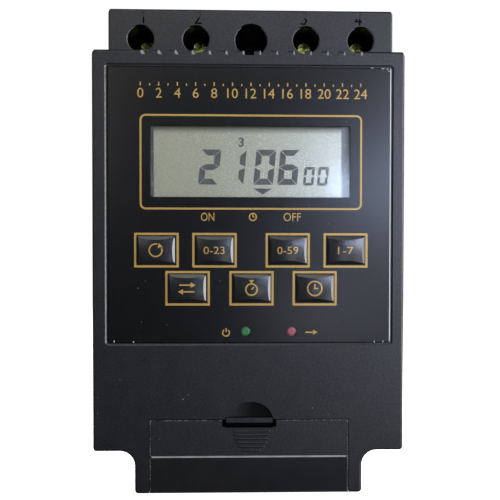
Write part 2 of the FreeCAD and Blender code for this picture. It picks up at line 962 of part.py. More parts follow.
def key_holes(y0, y1):
    """The openings that the keys pass through, from y0 back to y1."""
    hole_width = key_width + 2 * key_gap
    hole_height = key_height + 2 * key_gap
    return [centred_slab(x, z, hole_width, hole_height, y0, y1, key_corner) for x, z in key_places.values()]


def face_overlay():
    """A printed film with a bevelled outer edge, cut out for the window, the keys and the lamps."""
    film = beveled_slab(
        recess_x, recess_z, 2 * (recess_half_width - film_margin), recess_height - 2 * film_margin,
        film_front, film_back, film_corner, film_edge_width, film_edge_depth)
    y0 = film_front - over
    y1 = film_back + over
    cuts = [centred_slab(display_x, display_z, window_width, window_height, y0, y1, window_corner)]
    cuts += key_holes(y0, y1)
    for x in (power_led_x, output_led_x):
        cuts.append(rod_y(x, led_z, led_view_radius, y0, y1))
    return film.cut(cuts)


def display_window():
    plate_width = window_width + 2 * window_border
    plate_height = window_height + 2 * window_border
    y1 = film_back + window_thickness
    return centred_slab(
        display_x, display_z, plate_width, plate_height, film_back, y1, window_outer_corner)


def lcd_panel():
    y0 = front_inner + 2 * seat_gap
    return box(
        display_x - glass_width / 2, display_x + glass_width / 2, y0, y0 + glass_thickness,
        display_z - glass_height / 2, display_z + glass_height / 2)


def lcd_holder():
    outer_width = glass_width + 2 * holder_wall
    outer_height = glass_height + 2 * holder_wall
    y0 = front_inner + seat_gap
    y1 = control_front - seat_gap
    frame = centred_slab(display_x, display_z, outer_width, outer_height, y0, y1, holder_corner)
    glass_back = front_inner + 3 * seat_gap + glass_thickness
    pocket_width = glass_width + 2 * fit_gap
    pocket_height = glass_height + 2 * fit_gap
    pocket = centred_slab(
        display_x, display_z, pocket_width, pocket_height, y0 - over, glass_back, holder_inner_corner)
    middle_width = glass_width - 2 * zebra_end_margin
    middle_height = glass_height - 2 * zebra_width - 4 * holder_wall
    middle = centred_slab(
        display_x, display_z, middle_width, middle_height, y0, y1 + over, holder_inner_corner)
    frame = frame.cut([pocket, middle])
    for side in (-1, 1):
        frame = frame.cut(zebra_slot(side, fit_gap, glass_back - over, y1 + over))
    return frame


def zebra_slot(side, gap, y0, y1):
    z = display_z + side * (glass_height / 2 - zebra_width)
    half_length = glass_width / 2 - zebra_end_margin + gap
    half_width_z = zebra_width / 2 + gap
    return box(display_x - half_length, display_x + half_length, y0, y1, z - half_width_z, z + half_width_z)


def zebra_strips():
    glass_back = front_inner + 2 * seat_gap + glass_thickness
    return Part.makeCompound([zebra_slot(side, 0, glass_back, control_front) for side in (-1, 1)])


def key(x, z):
    """A crowned cap with sloping sides, a flange behind the wall and a stem that reaches the switch."""
    flange_front = front_inner + fit_gap
    flange_back = flange_front + key_flange
    tact_top = control_front - tact_height - tact_button_height
    stem_back = tact_top - key_travel - seat_gap
    crown = film_front - key_proud
    slope_depth = key_shoulder + seat_gap
    slope_width = slope_depth / math.tan(math.radians(key_slope_angle))
    cap = beveled_slab(
        x, z, key_width, key_height, crown - seat_gap, flange_front, key_corner, slope_width, slope_depth)
    cap = cap.common(Part.makeSphere(key_crown_radius, Vector(x, crown + key_crown_radius, z)))
    flange = centred_slab(
        x, z, key_width + 2 * key_flange, key_height + 2 * key_flange, flange_front, flange_back, key_corner)
    stem = rod_y(x, z, key_stem_radius, flange_back, stem_back)
    return join(cap, flange, stem)


def tact_switches():
    switches = []
    for x, z in key_places.values():
        body_front = control_front - tact_height
        body = centred_slab(x, z, tact_size, tact_size, body_front, control_front, tact_corner)
        button = rod_y(x, z, tact_button_radius, body_front - tact_button_height, body_front)
        switches.append(join(body, button))
    return Part.makeCompound(switches)


def led(x):
    """A round lamp behind its hole, with a rim and two leads to the board."""
    dome_front = film_back + seat_gap
    dome = rod_y(x, led_z, led_radius, dome_front, dome_front + led_length)
    dome = round_face(dome, dome_front, led_dome)
    rim_back = dome_front + led_length + led_rim_height
    rim = rod_y(x, led_z, led_rim_radius, dome_front + led_length, rim_back)
    lamp = join(dome, rim)
    for side in (-1, 1):
        centre = x + side * lead_pitch / 2
        lead = box(
            centre - lead_size / 2, centre + lead_size / 2, rim_back, control_front,
            led_z - lead_size / 2, led_z + lead_size / 2)
        lamp = lamp.fuse(lead)
    return lamp.removeSplitter()


def control_board():
    board = slab(
        -control_half_width, control_half_width, control_bottom, control_top,
        control_front, control_back, board_corner)
    holes = []
    for x, z in control_screw_places():
        holes.append(rod_y(x, z, board_screw_radius + fit_gap, control_front - over, control_back + over))
    return board.cut(holes)


def controller_chip():
    """A square chip with a row of flat pins along each side."""
    chip_x = display_x + chip_shift
    chip_z = display_z + chip_rise
    chip_back = control_back + chip_height
    chip = centred_slab(chip_x, chip_z, chip_size, chip_size, control_back, chip_back, chip_corner)
    reach = chip_size / 2 + chip_pin_length
    pin_back = control_back + chip_pin_height
    pins = []
    for i in range(chip_pin_count):
        offset = (i - (chip_pin_count - 1) / 2) * chip_pin_pitch
        x0 = chip_x + offset - chip_pin_width / 2
        z0 = chip_z + offset - chip_pin_width / 2
        pins.append(box(x0, x0 + chip_pin_width, control_back, pin_back, chip_z - reach, chip_z + reach))
        pins.append(box(chip_x - reach, chip_x + reach, control_back, pin_back, z0, z0 + chip_pin_width))
    return chip.fuse(pins).removeSplitter()


def quartz_crystal():
    """A small can that lies on the board, with two bent leads."""
    x0 = display_x + crystal_shift
    z = display_z + crystal_rise
    centre_y = control_back + crystal_radius
    lead_end = x0 - crystal_lead_length
    pieces = []
    for side in (-1, 1):
        lead_z = z + side * crystal_lead_spread
        pieces.append(rod_x(centre_y, lead_z, crystal_lead_radius, lead_end, x0))
        pieces.append(rod_y(lead_end, lead_z, crystal_lead_radius, control_back, centre_y))
    return join(rod_x(centre_y, z, crystal_radius, x0, x0 + crystal_length), *pieces)


def link_headers():
    z0 = link_z - header_height / 2
    z1 = link_z + header_height / 2
    x0 = link_x - link_half_width
    x1 = link_x + link_half_width
    near_control = box(x0, x1, control_back, control_back + header_height, z0, z1)
    near_power = box(x0, x1, power_front - header_height, power_front, z0, z1)
    return Part.makeCompound([near_control, near_power])


def link_ribbon():
    return box(
        link_x - ribbon_half_width, link_x + ribbon_half_width,
        control_back + header_height, power_front - header_height,
        link_z - ribbon_thickness / 2, link_z + ribbon_thickness / 2)


def power_board():
    board = slab(
        -power_half_width, power_half_width, power_bottom, power_top, power_front, power_back, board_corner)
    holes = []
    for x, z in power_screw_places():
        holes.append(rod_y(x, z, board_screw_radius + fit_gap, power_front - over, power_back + over))
    for x in terminal_places:
        pin_half = bar_pin_half_width + fit_gap
        z1 = floor_bottom - wall + fit_gap
        z0 = floor_bottom - wall - bar_thickness - fit_gap
        holes.append(box(x - pin_half, x + pin_half, power_front - over, power_back + over, z0, z1))
    return board.cut(holes)


def contact_bar(x):
    """A brass bar that stands in the clamp and bends forwards into the power board."""
    z1 = floor_bottom - wall
    z0 = z1 - bar_thickness
    bar_top = terminal_z + cage_height / 2 + bar_above_cage
    upright = box(x - bar_half_width, x + bar_half_width, bar_front, bar_back, z0, bar_top)
    pin_front = power_front - bar_pin_through
    pin = box(x - bar_pin_half_width, x + bar_pin_half_width, pin_front, bar_back, z0, z1)
    return join(upright, pin)


def contact_bars():
    return Part.makeCompound([contact_bar(x) for x in terminal_places])


def clamp_cage(x):
    """A rising clamp: a frame round the bar whose front plate is the nut of the screw."""
    z0 = terminal_z - cage_height / 2
    z1 = terminal_z + cage_height / 2
    block = slab_z(x - cage_half_width, x + cage_half_width, cage_front, cage_back, z0, z1, cage_corner)
    opening_half = cage_half_width - cage_side
    window = box(x - opening_half, x + opening_half, cage_window_front, wire_back, z0 - over, z1 + over)
    thread_radius = terminal_shank_radius + thread_gap
    thread = rod_y(x, terminal_z, thread_radius, cage_front - over, cage_window_front + over)
    return block.cut([window, thread])


def terminal_screw(x):
    head = rod_y(x, terminal_z, terminal_head_radius, head_front, head_back)
    head = round_face(head, head_front, terminal_head_round)
    shank = rod_y(x, terminal_z, terminal_shank_radius, head_back, bar_front - seat_gap)
    mouth = head_front + driver_slot_depth
    reach = terminal_head_radius * driver_slot_share
    cross = cross_recess(x, terminal_z, reach, head_front - over, mouth)
    return join(head, shank).cut(cross)


def battery_cell():
    x1 = battery_plus_x
    x0 = x1 - battery_length + battery_button_height
    can = rod_x(battery_y, battery_z, battery_radius, x0, x1)
    button = rod_x(battery_y, battery_z, battery_button_radius, x1, x1 + battery_button_height)
    return join(can, button)


def contact_plate(side):
    """A plate at one end of the battery bay with a solder tab up to the control board."""
    x0 = min(side * contact_outer, side * (contact_outer - contact_thickness))
    x1 = x0 + contact_thickness
    z0 = battery_z - contact_height / 2
    z1 = battery_z + contact_height / 2
    flat = box(x0, x1, battery_y - contact_width / 2, control_front - seat_gap, z0, z1)
    tab = box(x0, x1, tab_front, control_front - seat_gap, z1, control_bottom + contact_tab_lap)
    return join(flat, tab)


def battery_contact_plus():
    return contact_plate(1)


def battery_contact_minus():
    """The plate at the flat end of the cell, with a leaf bowed out to press on it."""
    x0 = -contact_outer + contact_thickness
    reach = battery_plus_x - battery_length + battery_button_height - seat_gap
    half = contact_width / 2 - contact_leaf_inset
    rise = contact_height / 2
    points = [
        (x0, battery_z + rise),
        (reach, battery_z),
        (x0, battery_z - rise),
        (x0, battery_z - rise + contact_leaf_thickness),
        (reach - contact_leaf_thickness, battery_z),
        (x0, battery_z + rise - contact_leaf_thickness),
    ]
    leaf = plate(points, [0] * 6, battery_y - half, battery_y + half)
    return join(contact_plate(-1), leaf)


def battery_cover():
    x0 = cover_x - cover_half_width
    x1 = cover_x + cover_half_width
    points = [(x0, foot_bottom), (x1, foot_bottom), (x1, cover_top), (x0, cover_top)]
    cover = plate(points, [0, 0, cover_corner, cover_corner], front, cover_back)
    bottom_edges = []
    for edge in cover.Edges:
        ends = edge.Vertexes
        at_front = all(abs(vertex.Y - front) < 1e-6 for vertex in ends)
        at_bottom = all(abs(vertex.Z - foot_bottom) < 1e-6 for vertex in ends)
        if at_front and at_bottom:
            bottom_edges.append(edge)
    cover = cover.makeFillet(edge_round, bottom_edges)
    rail_front = cover_back - cover_rail_thickness
    rail_bottom = foot_bottom + edge_round
    rail_top = cover_top - cover_rail_drop
    rails = box(x0 - cover_rail, x1 + cover_rail, rail_front, cover_back, rail_bottom, rail_top)
    cover = cover.fuse(rails)

    # Latch: a leaf behind the plate whose tongue shows in a slot of the top edge
    slot = box(
        latch_x - latch_half_width - latch_gap_side, latch_x + latch_half_width + latch_gap_side,
        front - over, cover_back + over, latch_gap_bottom, cover_top + over)
    cover = cover.cut(slot)
    leaf = box(
        latch_x - latch_half_width, latch_x + latch_half_width, cover_back, leaf_back,
        latch_gap_bottom - latch_leaf_drop, latch_top)
    tongue = box(
        latch_x - latch_half_width, latch_x + latch_half_width, front + latch_sink, cover_back,
        latch_top - latch_height, latch_top)
    cover = cover.fuse([leaf, tongue])

    ribs = []
    for i in range(rib_count):
        z = grip_top - (i + 0.5) * rib_pitch
        down = (grip_top - z) / grip_height
        half = grip_half_width * math.sqrt(1 - down * down)
        rib = rod_x(front, z, rib_radius, grip_x - half, grip_x + half)
        ribs.append(rib)
        for end in (-half, half):
            ribs.append(Part.makeSphere(rib_radius, Vector(grip_x + end, front, z)))
    cover = cover.fuse(ribs)
    recess = box(
        label_left - seat_gap, label_right + seat_gap, front - over, front + label_recess,
        label_bottom - seat_gap, label_top + seat_gap)
    return cover.cut(recess).removeSplitter()


def battery_label():
    y1 = front + label_recess
    return slab(label_left, label_right, label_bottom, label_top, y1 - label_thickness, y1, label_corner)


def din_clip():
    """The sliding rail latch: a hook above, a spring window, and a pull slot in its tail."""
    y0 = clip_front - over
    y1 = clip_back + over
    blade = slab(-clip_half_width, clip_half_width, clip_bottom, hook_top, clip_front, clip_back, clip_corner)
    window_bottom = lug_bottom - slide_gap
    window = box(-clip_window_half_width, clip_window_half_width, y0, y1, window_bottom, clip_window_top)
    pull_bottom = clip_bottom + clip_pull_rise
    pull_top = pull_bottom + clip_pull_height
    pull = slab(-clip_pull_half_width, clip_pull_half_width, pull_bottom, pull_top, y0, y1, clip_pull_corner)

    # A bevel behind the hook, which lets it snap over the rail's edge
    past = clip_half_width + over
    slope = clip_lead_height / clip_lead_depth
    lead_in = Part.Face(Part.makePolygon([
        Vector(-past, clip_back - clip_lead_depth, hook_top),
        Vector(-past, y1, hook_top),
        Vector(-past, y1, hook_top - clip_lead_height - over * slope),
        Vector(-past, clip_back - clip_lead_depth, hook_top),
    ])).extrude(Vector(2 * past, 0, 0))
    return blade.cut([window, pull, lead_in])


def biarc(start, start_way, end, end_way):
    """Two tangent arcs from start to end, leaving and arriving along the given directions."""
    chord = end - start
    both = start_way + end_way
    spread = 2 * (1 - start_way.dot(end_way))
    along = chord.dot(both)
    reach = (-along + math.sqrt(along * along + spread * chord.dot(chord))) / spread
    corner0 = start + start_way * reach
    corner1 = end - end_way * reach
    meet = (corner0 + corner1) * 0.5
    edges = []
    for a, corner, b in ((start, corner0, meet), (meet, corner1, end)):
        middle = (a + b) * 0.5
        half_chord = (b - a).Length / 2
        to_corner = corner - middle
        half_turn = math.atan2(to_corner.Length, half_chord)
        sagitta = half_chord * math.tan(half_turn / 2)
        edges.append(Part.Arc(a, middle + to_corner.normalize() * sagitta, b).toShape())
    return edges


def spring_height(turn):
    """Height of the spring's centre line after so many turns from its lower end."""
    low = lug_top + spring_wire / 2 + seat_gap
    high = clip_window_top - spring_wire / 2 - seat_gap
    return low + (high - low) * turn / spring_turns


def spring_point(turn):
    angle = 2 * math.pi * turn
    x = spring_radius * math.cos(angle)
    y = spring_y + spring_radius * math.sin(angle)
    return Vector(x, y, spring_height(turn))


def spring_way(turn):
    angle = 2 * math.pi * turn
    rise = (spring_height(1) - spring_height(0)) / (2 * math.pi)
    return Vector(-spring_radius * math.sin(angle), spring_radius * math.cos(angle), rise).normalize()


def clip_spring():
    """The compression spring of the rail latch, wound as quarter turns of arcs."""
    edges = []
    for quarter in range(4 * spring_turns):
        t0 = quarter / 4
        t1 = (quarter + 1) / 4
        edges += biarc(spring_point(t0), spring_way(t0), spring_point(t1), spring_way(t1))
    path = Part.Wire(edges)
    section = Part.Wire(Part.Circle(spring_point(0), spring_way(0), spring_wire / 2).toShape())
    coil = path.makePipeShell([section], True, False)
    samples = 72
    points = [spring_point(i / samples) for i in range(samples * spring_turns + 1)]
    least = min(
        points[i].distanceToPoint(points[j])
        for i in range(0, len(points), 6)
        for j in range(i + samples // 2, len(points)))
    print("clip spring, least gap between turns: %.2f mm" % (least - spring_wire))
    return coil


def relay_base():
    x0 = relay_x - relay_length / 2
    x1 = relay_x + relay_length / 2
    z0 = relay_z - relay_width / 2
    z1 = relay_z + relay_width / 2
    return box(x0, x1, relay_floor, power_front, z0, z1)


def relay_case():
    y0 = relay_floor - relay_case_height
    outer = centred_slab(relay_x, relay_z, relay_length, relay_width, y0, relay_floor, relay_case_corner)
    outer = round_face(outer, y0, relay_case_round)
    inner = centred_slab(
        relay_x, relay_z, relay_length - 2 * relay_case_wall, relay_width - 2 * relay_case_wall,
        y0 + relay_case_wall, relay_floor + over, relay_case_inner_corner)
    return outer.cut(inner)


def relay_yoke():
    """The steel angle that carries the coil and, on its round edge, the armature."""
    foot_back = relay_floor
    foot_front = relay_floor - yoke_thickness
    left = relay_x - core_offset - bobbin_flange_radius
    z0 = relay_z - yoke_half_width
    z1 = relay_z + yoke_half_width
    foot = box(left, hinge_x + hinge_radius, foot_front, foot_back, z0, z1)
    side = box(hinge_x - hinge_radius, hinge_x + hinge_radius, hinge_y, foot_back, z0, z1)
    edge = rod_z(hinge_x, hinge_y, hinge_radius, z0, z1)
    return join(foot, side, edge)


def relay_core():
    x = relay_x - core_offset
    return rod_y(x, relay_z, core_radius, core_front, relay_floor - yoke_thickness)


def relay_bobbin():
    x = relay_x - core_offset
    back = relay_floor - yoke_thickness
    bobbin_front = core_front + core_face
    hole_radius = core_radius + fit_gap
    tube = rod_y(x, relay_z, hole_radius + bobbin_wall, bobbin_front, back)
    flanges = [
        rod_y(x, relay_z, bobbin_flange_radius, back - bobbin_flange, back),
        rod_y(x, relay_z, bobbin_flange_radius, bobbin_front, bobbin_front + bobbin_flange),
    ]
    hole = rod_y(x, relay_z, hole_radius, bobbin_front - over, back + over)
    return tube.fuse(flanges).cut(hole).removeSplitter()


def relay_winding():
    x = relay_x - core_offset
    y0 = core_front + core_face + bobbin_flange + seat_gap
    y1 = relay_floor - yoke_thickness - bobbin_flange - seat_gap
    inner_radius = core_radius + fit_gap + bobbin_wall + seat_gap
    hole = rod_y(x, relay_z, inner_radius, y0 - over, y1 + over)
    return rod_y(x, relay_z, winding_radius, y0, y1).cut(hole)


def relay_armature():
    z0 = relay_z - armature_half_width
    z1 = relay_z + armature_half_width
    return box(relay_x - armature_tip, hinge_x + armature_heel, armature_front, armature_back, z0, z1)


def contact_drop():
    """How far the moving contact travels at the end of its arm."""
    return contact_arm * math.sin(math.radians(relay_travel_degrees))


def relay_moving_contact():
    leaf_back = armature_back + contact_leaf
    leaf = box(
        contact_x - contact_leaf_past, relay_x - armature_tip + contact_leaf_lap, armature_back, leaf_back,
        relay_z - contact_leaf_half_width, relay_z + contact_leaf_half_width)
    rivet_front = armature_back - contact_rivet
    rivet = rod_y(contact_x, relay_z, contact_radius, rivet_front, leaf_back + contact_rivet)
    return join(leaf, rivet)


def fixed_contact(arm_front, rivet_front, rivet_back, blade_span, post_span):
    """A rivet on a blade, with a post down to the relay's base; each span is a low and a high z."""
    left = relay_x - relay_length / 2 + relay_case_wall + slide_gap
    post = box(left, left + contact_post, arm_front, relay_floor, *post_span)
    blade = box(left, contact_x + contact_radius, arm_front, arm_front + contact_blade, *blade_span)
    return join(post, blade, rod_y(contact_x, relay_z, contact_radius, rivet_front, rivet_back))


def relay_contacts():
    """The two fixed contacts on their blades, one on each side of the moving one."""
    open_front = armature_back + contact_leaf + contact_rivet + contact_drop() + fit_gap
    open_arm = open_front + contact_fixed_rivet
    lower_span = (relay_z - contact_spread, relay_z + contact_near)
    open_contact = fixed_contact(open_arm, open_front, open_arm, lower_span, lower_span)
    closed_back = armature_back - contact_rivet - seat_gap
    closed_arm = closed_back - contact_seat
    upper_span = (relay_z - contact_near, relay_z + contact_spread)
    post_span = (relay_z + contact_far, relay_z + contact_spread)
    closed_contact = fixed_contact(
        closed_arm - contact_blade, closed_arm, closed_back, upper_span, post_span)
    return Part.makeCompound([open_contact, closed_contact])


def board_place(from_side, from_top):
    """A place on the power board, measured from its upper left corner."""
    return -power_half_width + from_side, power_top - from_top


def leaded(body, spots):
    """A component body with round leads down to the power board."""
    leads = [rod_y(x, z, component_lead, y, power_front) for x, z, y in spots]
    return join(body, *leads)


def film_capacitor():
    x, z = board_place(film_capacitor_from_side, film_capacitor_from_top)
    y1 = power_front - film_capacitor_seat
    y0 = y1 - film_capacitor_depth
    body = centred_slab(x, z, film_capacitor_length, film_capacitor_height, y0, y1, film_capacitor_corner)
    body = round_face(body, y0, film_capacitor_round)
    return leaded(body, [(x + side * film_capacitor_pitch / 2, z, y1) for side in (-1, 1)])


def can(from_side, from_top, radius, height):
    x, z = board_place(from_side, from_top)
    y0 = power_front - height
    return round_face(rod_y(x, z, radius, y0, power_front), y0, can_round)


def electrolytic_capacitors():
    large = can(large_can_from_side, large_can_from_top, large_can_radius, large_can_height)
    small = can(small_can_from_side, small_can_from_top, small_can_radius, small_can_height)
    return Part.makeCompound([large, small])


def axial_part(x, z, body_radius, body_length):
    """A small part that lies along Z a little above the board, with a bent lead at each end."""
    y = power_front - body_radius - component_gap
    reach = body_length / 2 + axial_lead_reach
    body = rod_z(x, y, body_radius, z - body_length / 2, z + body_length / 2)
    wire = rod_z(x, y, component_lead, z - reach, z + reach)
    feet = [rod_y(x, z + side * reach, component_lead, y, power_front) for side in (-1, 1)]
    return join(body, wire, *feet)


def rectifier_diodes():
    x, z = board_place(diode_from_side, diode_from_top)
    return Part.makeCompound([
        axial_part(x + diode_pitch * i, z, diode_radius, diode_length)
        for i in range(diode_count)])


def resistors():
    x, z = board_place(resistor_from_side, resistor_from_top)
    return Part.makeCompound([
        axial_part(x + resistor_pitch * i, z, resistor_radius, resistor_length)
        for i in range(resistor_count)])


def varistor():
    """A disc that stands on edge."""
    x, z = board_place(varistor_from_side, varistor_from_top)
    y = power_front - varistor_seat - varistor_radius
    disc = rod_x(y, z, varistor_radius, x - varistor_thickness / 2, x + varistor_thickness / 2)
    return leaded(disc, [(x, z + side * varistor_lead_spread, y) for side in (-1, 1)])


def fuse():
    x, z = board_place(fuse_from_side, fuse_from_top)
    y1 = power_front - component_gap
    y0 = y1 - fuse_height
    body = round_face(rod_y(x, z, fuse_radius, y0, y1), y0, fuse_round)
    return leaded(body, [(x + side * fuse_lead_spread, z, y1) for side in (-1, 1)])


def driver_transistor():
    """A round body with one flat side, on three leads."""
    x, z = board_place(transistor_from_side, transistor_from_top)
    y1 = power_front - transistor_seat
    y0 = y1 - transistor_height
    past = transistor_radius + over
    flat = box(x - past, x + past, y0 - over, y1 + over, z - past, z - transistor_flat)
    body = rod_y(x, z, transistor_radius, y0, y1).cut(flat)
    return leaded(body, [(x + i * transistor_lead_spread, z, y1) for i in (-1, 0, 1)])


nodes = {
    "front_housing": front_housing(),
    "rear_housing": rear_housing(),
    "housing_screws": housing_screws(),
    "face_overlay": face_overlay(),
    "display_window": display_window(),
    "lcd_panel": lcd_panel(),
    "lcd_holder": lcd_holder(),
    "zebra_strips": zebra_strips(),
    "tact_switches": tact_switches(),
    "power_led": led(power_led_x),
    "output_led": led(output_led_x),
    "control_board": control_board(),
    "controller_chip": controller_chip(),
    "quartz_crystal": quartz_crystal(),
    "link_headers": link_headers(),
    "link_ribbon": link_ribbon(),
    "power_board": power_board(),
    "board_screws": board_screws(),
    "contact_bars": contact_bars(),
    "battery_cell": battery_cell(),
    "battery_contact_plus": battery_contact_plus(),
    "battery_contact_minus": battery_contact_minus(),
    "battery_cover": battery_cover(),
    "battery_label": battery_label(),
    "din_clip": din_clip(),
    "clip_spring": clip_spring(),
    "relay_base": relay_base(),
    "relay_case": relay_case(),
    "relay_yoke": relay_yoke(),
    "relay_core": relay_core(),
    "relay_bobbin": relay_bobbin(),
    "relay_winding": relay_winding(),
    "relay_armature": relay_armature(),
    "relay_moving_contact": relay_moving_contact(),
    "relay_contacts": relay_contacts(),
    "film_capacitor": film_capacitor(),
    "electrolytic_capacitors": electrolytic_capacitors(),
    "rectifier_diodes": rectifier_diodes(),
    "resistors": resistors(),
    "varistor": varistor(),
    "fuse": fuse(),
    "driver_transistor": driver_transistor(),
}
for name, (x, z) in key_places.items():
    nodes[name] = key(x, z)
for number, x in enumerate(terminal_places):
    nodes["terminal_screw_%d" % (number + 1)] = terminal_screw(x)
    nodes["clamp_cage_%d" % (number + 1)] = clamp_cage(x)

os.makedirs("parts", exist_ok=True)
for name, shape in nodes.items():
    shape.exportStep("parts/%s.step" % name)
print("%d nodes written" % len(nodes))
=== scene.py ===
import math
import random

import bmesh
import bpy
from mathutils import Matrix, Vector
from mathutils.bvhtree import BVHTree


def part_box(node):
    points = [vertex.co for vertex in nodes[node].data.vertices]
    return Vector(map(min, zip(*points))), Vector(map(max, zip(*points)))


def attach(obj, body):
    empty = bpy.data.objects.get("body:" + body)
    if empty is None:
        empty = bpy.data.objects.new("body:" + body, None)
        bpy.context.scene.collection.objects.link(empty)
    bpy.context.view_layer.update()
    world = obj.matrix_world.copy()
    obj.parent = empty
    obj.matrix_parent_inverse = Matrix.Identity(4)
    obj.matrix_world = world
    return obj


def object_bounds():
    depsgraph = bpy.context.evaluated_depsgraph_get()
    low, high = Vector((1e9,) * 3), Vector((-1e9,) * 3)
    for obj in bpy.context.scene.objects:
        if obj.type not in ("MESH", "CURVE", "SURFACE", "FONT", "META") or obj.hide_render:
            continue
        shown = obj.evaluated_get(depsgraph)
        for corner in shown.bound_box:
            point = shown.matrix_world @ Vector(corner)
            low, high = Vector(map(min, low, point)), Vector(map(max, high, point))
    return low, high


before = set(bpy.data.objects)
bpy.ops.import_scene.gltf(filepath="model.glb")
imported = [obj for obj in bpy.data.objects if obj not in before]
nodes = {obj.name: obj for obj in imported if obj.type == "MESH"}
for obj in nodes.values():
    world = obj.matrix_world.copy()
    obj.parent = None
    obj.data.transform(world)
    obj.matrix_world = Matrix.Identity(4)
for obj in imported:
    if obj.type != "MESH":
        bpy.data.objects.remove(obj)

# Electronic timer switch for a mounting rail. Sizes below are in millimetres unless they say otherwise.
# X is right, Y runs from the front face back to the rail, Z is up.

MM = 0.001
cad_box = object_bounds()


def low(node):
    """Lowest corner of a node, in millimetres."""
    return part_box(node)[0] / MM


def high(node):
    """Highest corner of a node, in millimetres."""
    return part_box(node)[1] / MM


def middle(node):
    return (low(node) + high(node)) / 2


# Fronts that the prints and the label's edge lie on
film_front = low("face_overlay").y
glass_front = low("lcd_panel").y
label_front = low("battery_label").y

# Prints. Each word by the switch is its text, its middle and its width.
ink_height = 0.03
ink_sink = 0.01
longest_step = 0.6
weld_distance = 0.002
letter_weld_distance = 0.0001
key_names = [
    "reset_key", "hour_key", "minute_key", "week_key",
    "mode_key", "timer_key", "clock_key"]
key_frame_width = 10.53
key_frame_height = 8.23
key_frame_line = 0.53
key_frame_corner = 0.12
key_frame_shifts = {"reset_key": 0.14, "mode_key": 0.14, "hour_key": 0.07}
display_frame_x = 0.55
display_frame_z = 19.06
display_frame_width = 52.69
display_frame_height = 22.53
display_frame_line = 0.45
display_frame_corner = 1.4
scale_left = -25.6
scale_right = 26.5
scale_hours = 24
numeral_low = 34.15
numeral_height = 2.3
tick_low = 37.0
tick_long = 0.85
tick_short = 0.5
tick_width = 0.28
switch_words = [("ON", -9.77, 3.15), ("OFF", 10.29, 4.12)]
legend_low = 5.1
legend_height = 1.96
clock_legend_x = 0.95
clock_legend_line = 0.3
clock_legend_hand = 0.24
lamp_legend_z = -21.4
lamp_legend_line = 0.3
power_legend_x = -5.4
output_legend_x = 14.9
sign_line = 0.34
sign_radius = 1.5
key_number_height = 1.75
key_number_width = 5.0

# Display
polariser_left = -22.7
polariser_right = 22.05
polariser_thickness = 0.3
polariser_corner = 0.1
# Height of the painted shadow along the top of the polariser
top_shade = 2.0
digit_line = 1.42
digit_gap = 0.15
digit_lean = 0.1
digit_low = 13.78
digit_width = 4.72
digit_height = 8.35
digit_places = [("2", -12.18), ("1", -6.1), ("0", 0.94), ("6", 6.7)]
small_digit_line = 0.66
small_digit_gap = 0.1
small_digit_low = 13.64
small_digit_width = 2.5
small_digit_height = 4.45
small_digit_places = [12.86, 16.2]
pointer_left = 1.0
pointer_right = 5.52
pointer_top = 12.9
pointer_tip = 11.42
day_number_x = -1.85
day_number_low = 22.74
day_number_height = 2.3
day_number_weight = 0.03

# Loose edge of the label, and dust that lies on the front
label_edge_height = 0.32
label_edge_overlap = 0.05
label_edge_ahead = 0.02
speck_places = [
    (23.0, 28.75), (23.58, -46.87), (15.34, -39.62), (-30.6, -32.6), (-12.9, -41.6), (-21.2, -46.9),
    (-15.6, -37.4), (-19.4, -19.6), (-24.5, -9.2), (-25.5, -18.9), (-6.8, -9.2)]
speck_size = 0.2
fleck_places = [(-33.76, -23.6), (-31.87, -23.6), (-27.33, -23.7), (30.01, -23.7), (32.08, -23.7)]
fleck_width = 0.3
fleck_height = 0.55
corner_fleck_places = [(29.2, 41.5, 0.75), (31.7, 41.4, 0.9), (32.9, 41.3, 0.8), (33.2, 40.8, 0.6)]
corner_fleck_height = 0.3
grain_least = 0.7
grain_most = 1.15
grain_flatness = 0.6

# Painted highlights on the tips of the ribs between the vent slots
vent_pitch = 4.0
vent_reach = 27.0
rib_tip_first = 1.0
rib_tip_left = 2.5
rib_tip_right = 2.95
rib_tip_above_film = 2.85
rib_tip_height = 2.0
rib_tip_ahead = 2.0
rib_tip_behind = 5.0
rib_tip_highlight_colour = (0.2, 0.2, 0.21)

# Painted highlights on the rims of the shelf holes, and painted shade in their insides and in the pressed-in
# marks above them
shelf_setback = 24.0
shelf_front = low("front_housing").y + shelf_setback
shelf_skin = 0.06
shelf_shade_end = -2.0
hole_reach = 33.0
hole_low = 41.8
hole_high = 58.0
hole_rim = 0.5
hole_rim_highlight_colour = (0.09, 0.09, 0.095)
marks_low = 55.4

# Painted shade in the finger scoop, which grows from its dim side to its dark side
scoop_reach = 8.0
scoop_low = -43.0
scoop_high = -34.0
scoop_skin = 0.1
scoop_depth = 3.0
scoop_dim = -3.5
scoop_dark = 1.0
scoop_dim_share = 0.1
scoop_dark_share = 0.85

# Worn edges of the battery cover, and a painted shadow on the lower half of its tongue
worn_line = 0.22
worn_colour = (0.12, 0.12, 0.125)
cover_side = 0.45
cover_above_label = 8.9
tongue_reach = 6.7
tongue_shadow_reach = 5.6
tongue_shadow_low = 1.9
tongue_shadow_high = 0.7
tongue_shadow_soft = 0.1

# Painted highlight along the right cut edge of the film
film_edge_line = 0.25
film_edge_over = 1.0
film_edge_soft = 0.05
film_edge_highlight_colour = (0.3, 0.3, 0.31)

# Ends of the painted masks, and how dull and dark a shaded place is
soft_end = 0.04
sharp_end = 0.02
lit_gloss = 0.6
hole_gloss = 0.02
tongue_shadow_gloss = 0.03
shade_colour = (0.0015, 0.0015, 0.0015)

# Patterns of the materials, in waves or cells per metre
mottle_waves = 240.0
dust_cells = 420.0
dust_dot = 0.075
gloss_patch_waves = 450.0
gloss_grain_waves = 2000.0
worn_dot_waves = 1900.0
tarnish_waves = 420.0
ink_waves = 1800.0

# Strong refraction stands for the mirror-like layer behind the display's polariser
polariser_index = 3.8

# Border of the window plate that lies behind the film
window_border = 1.8

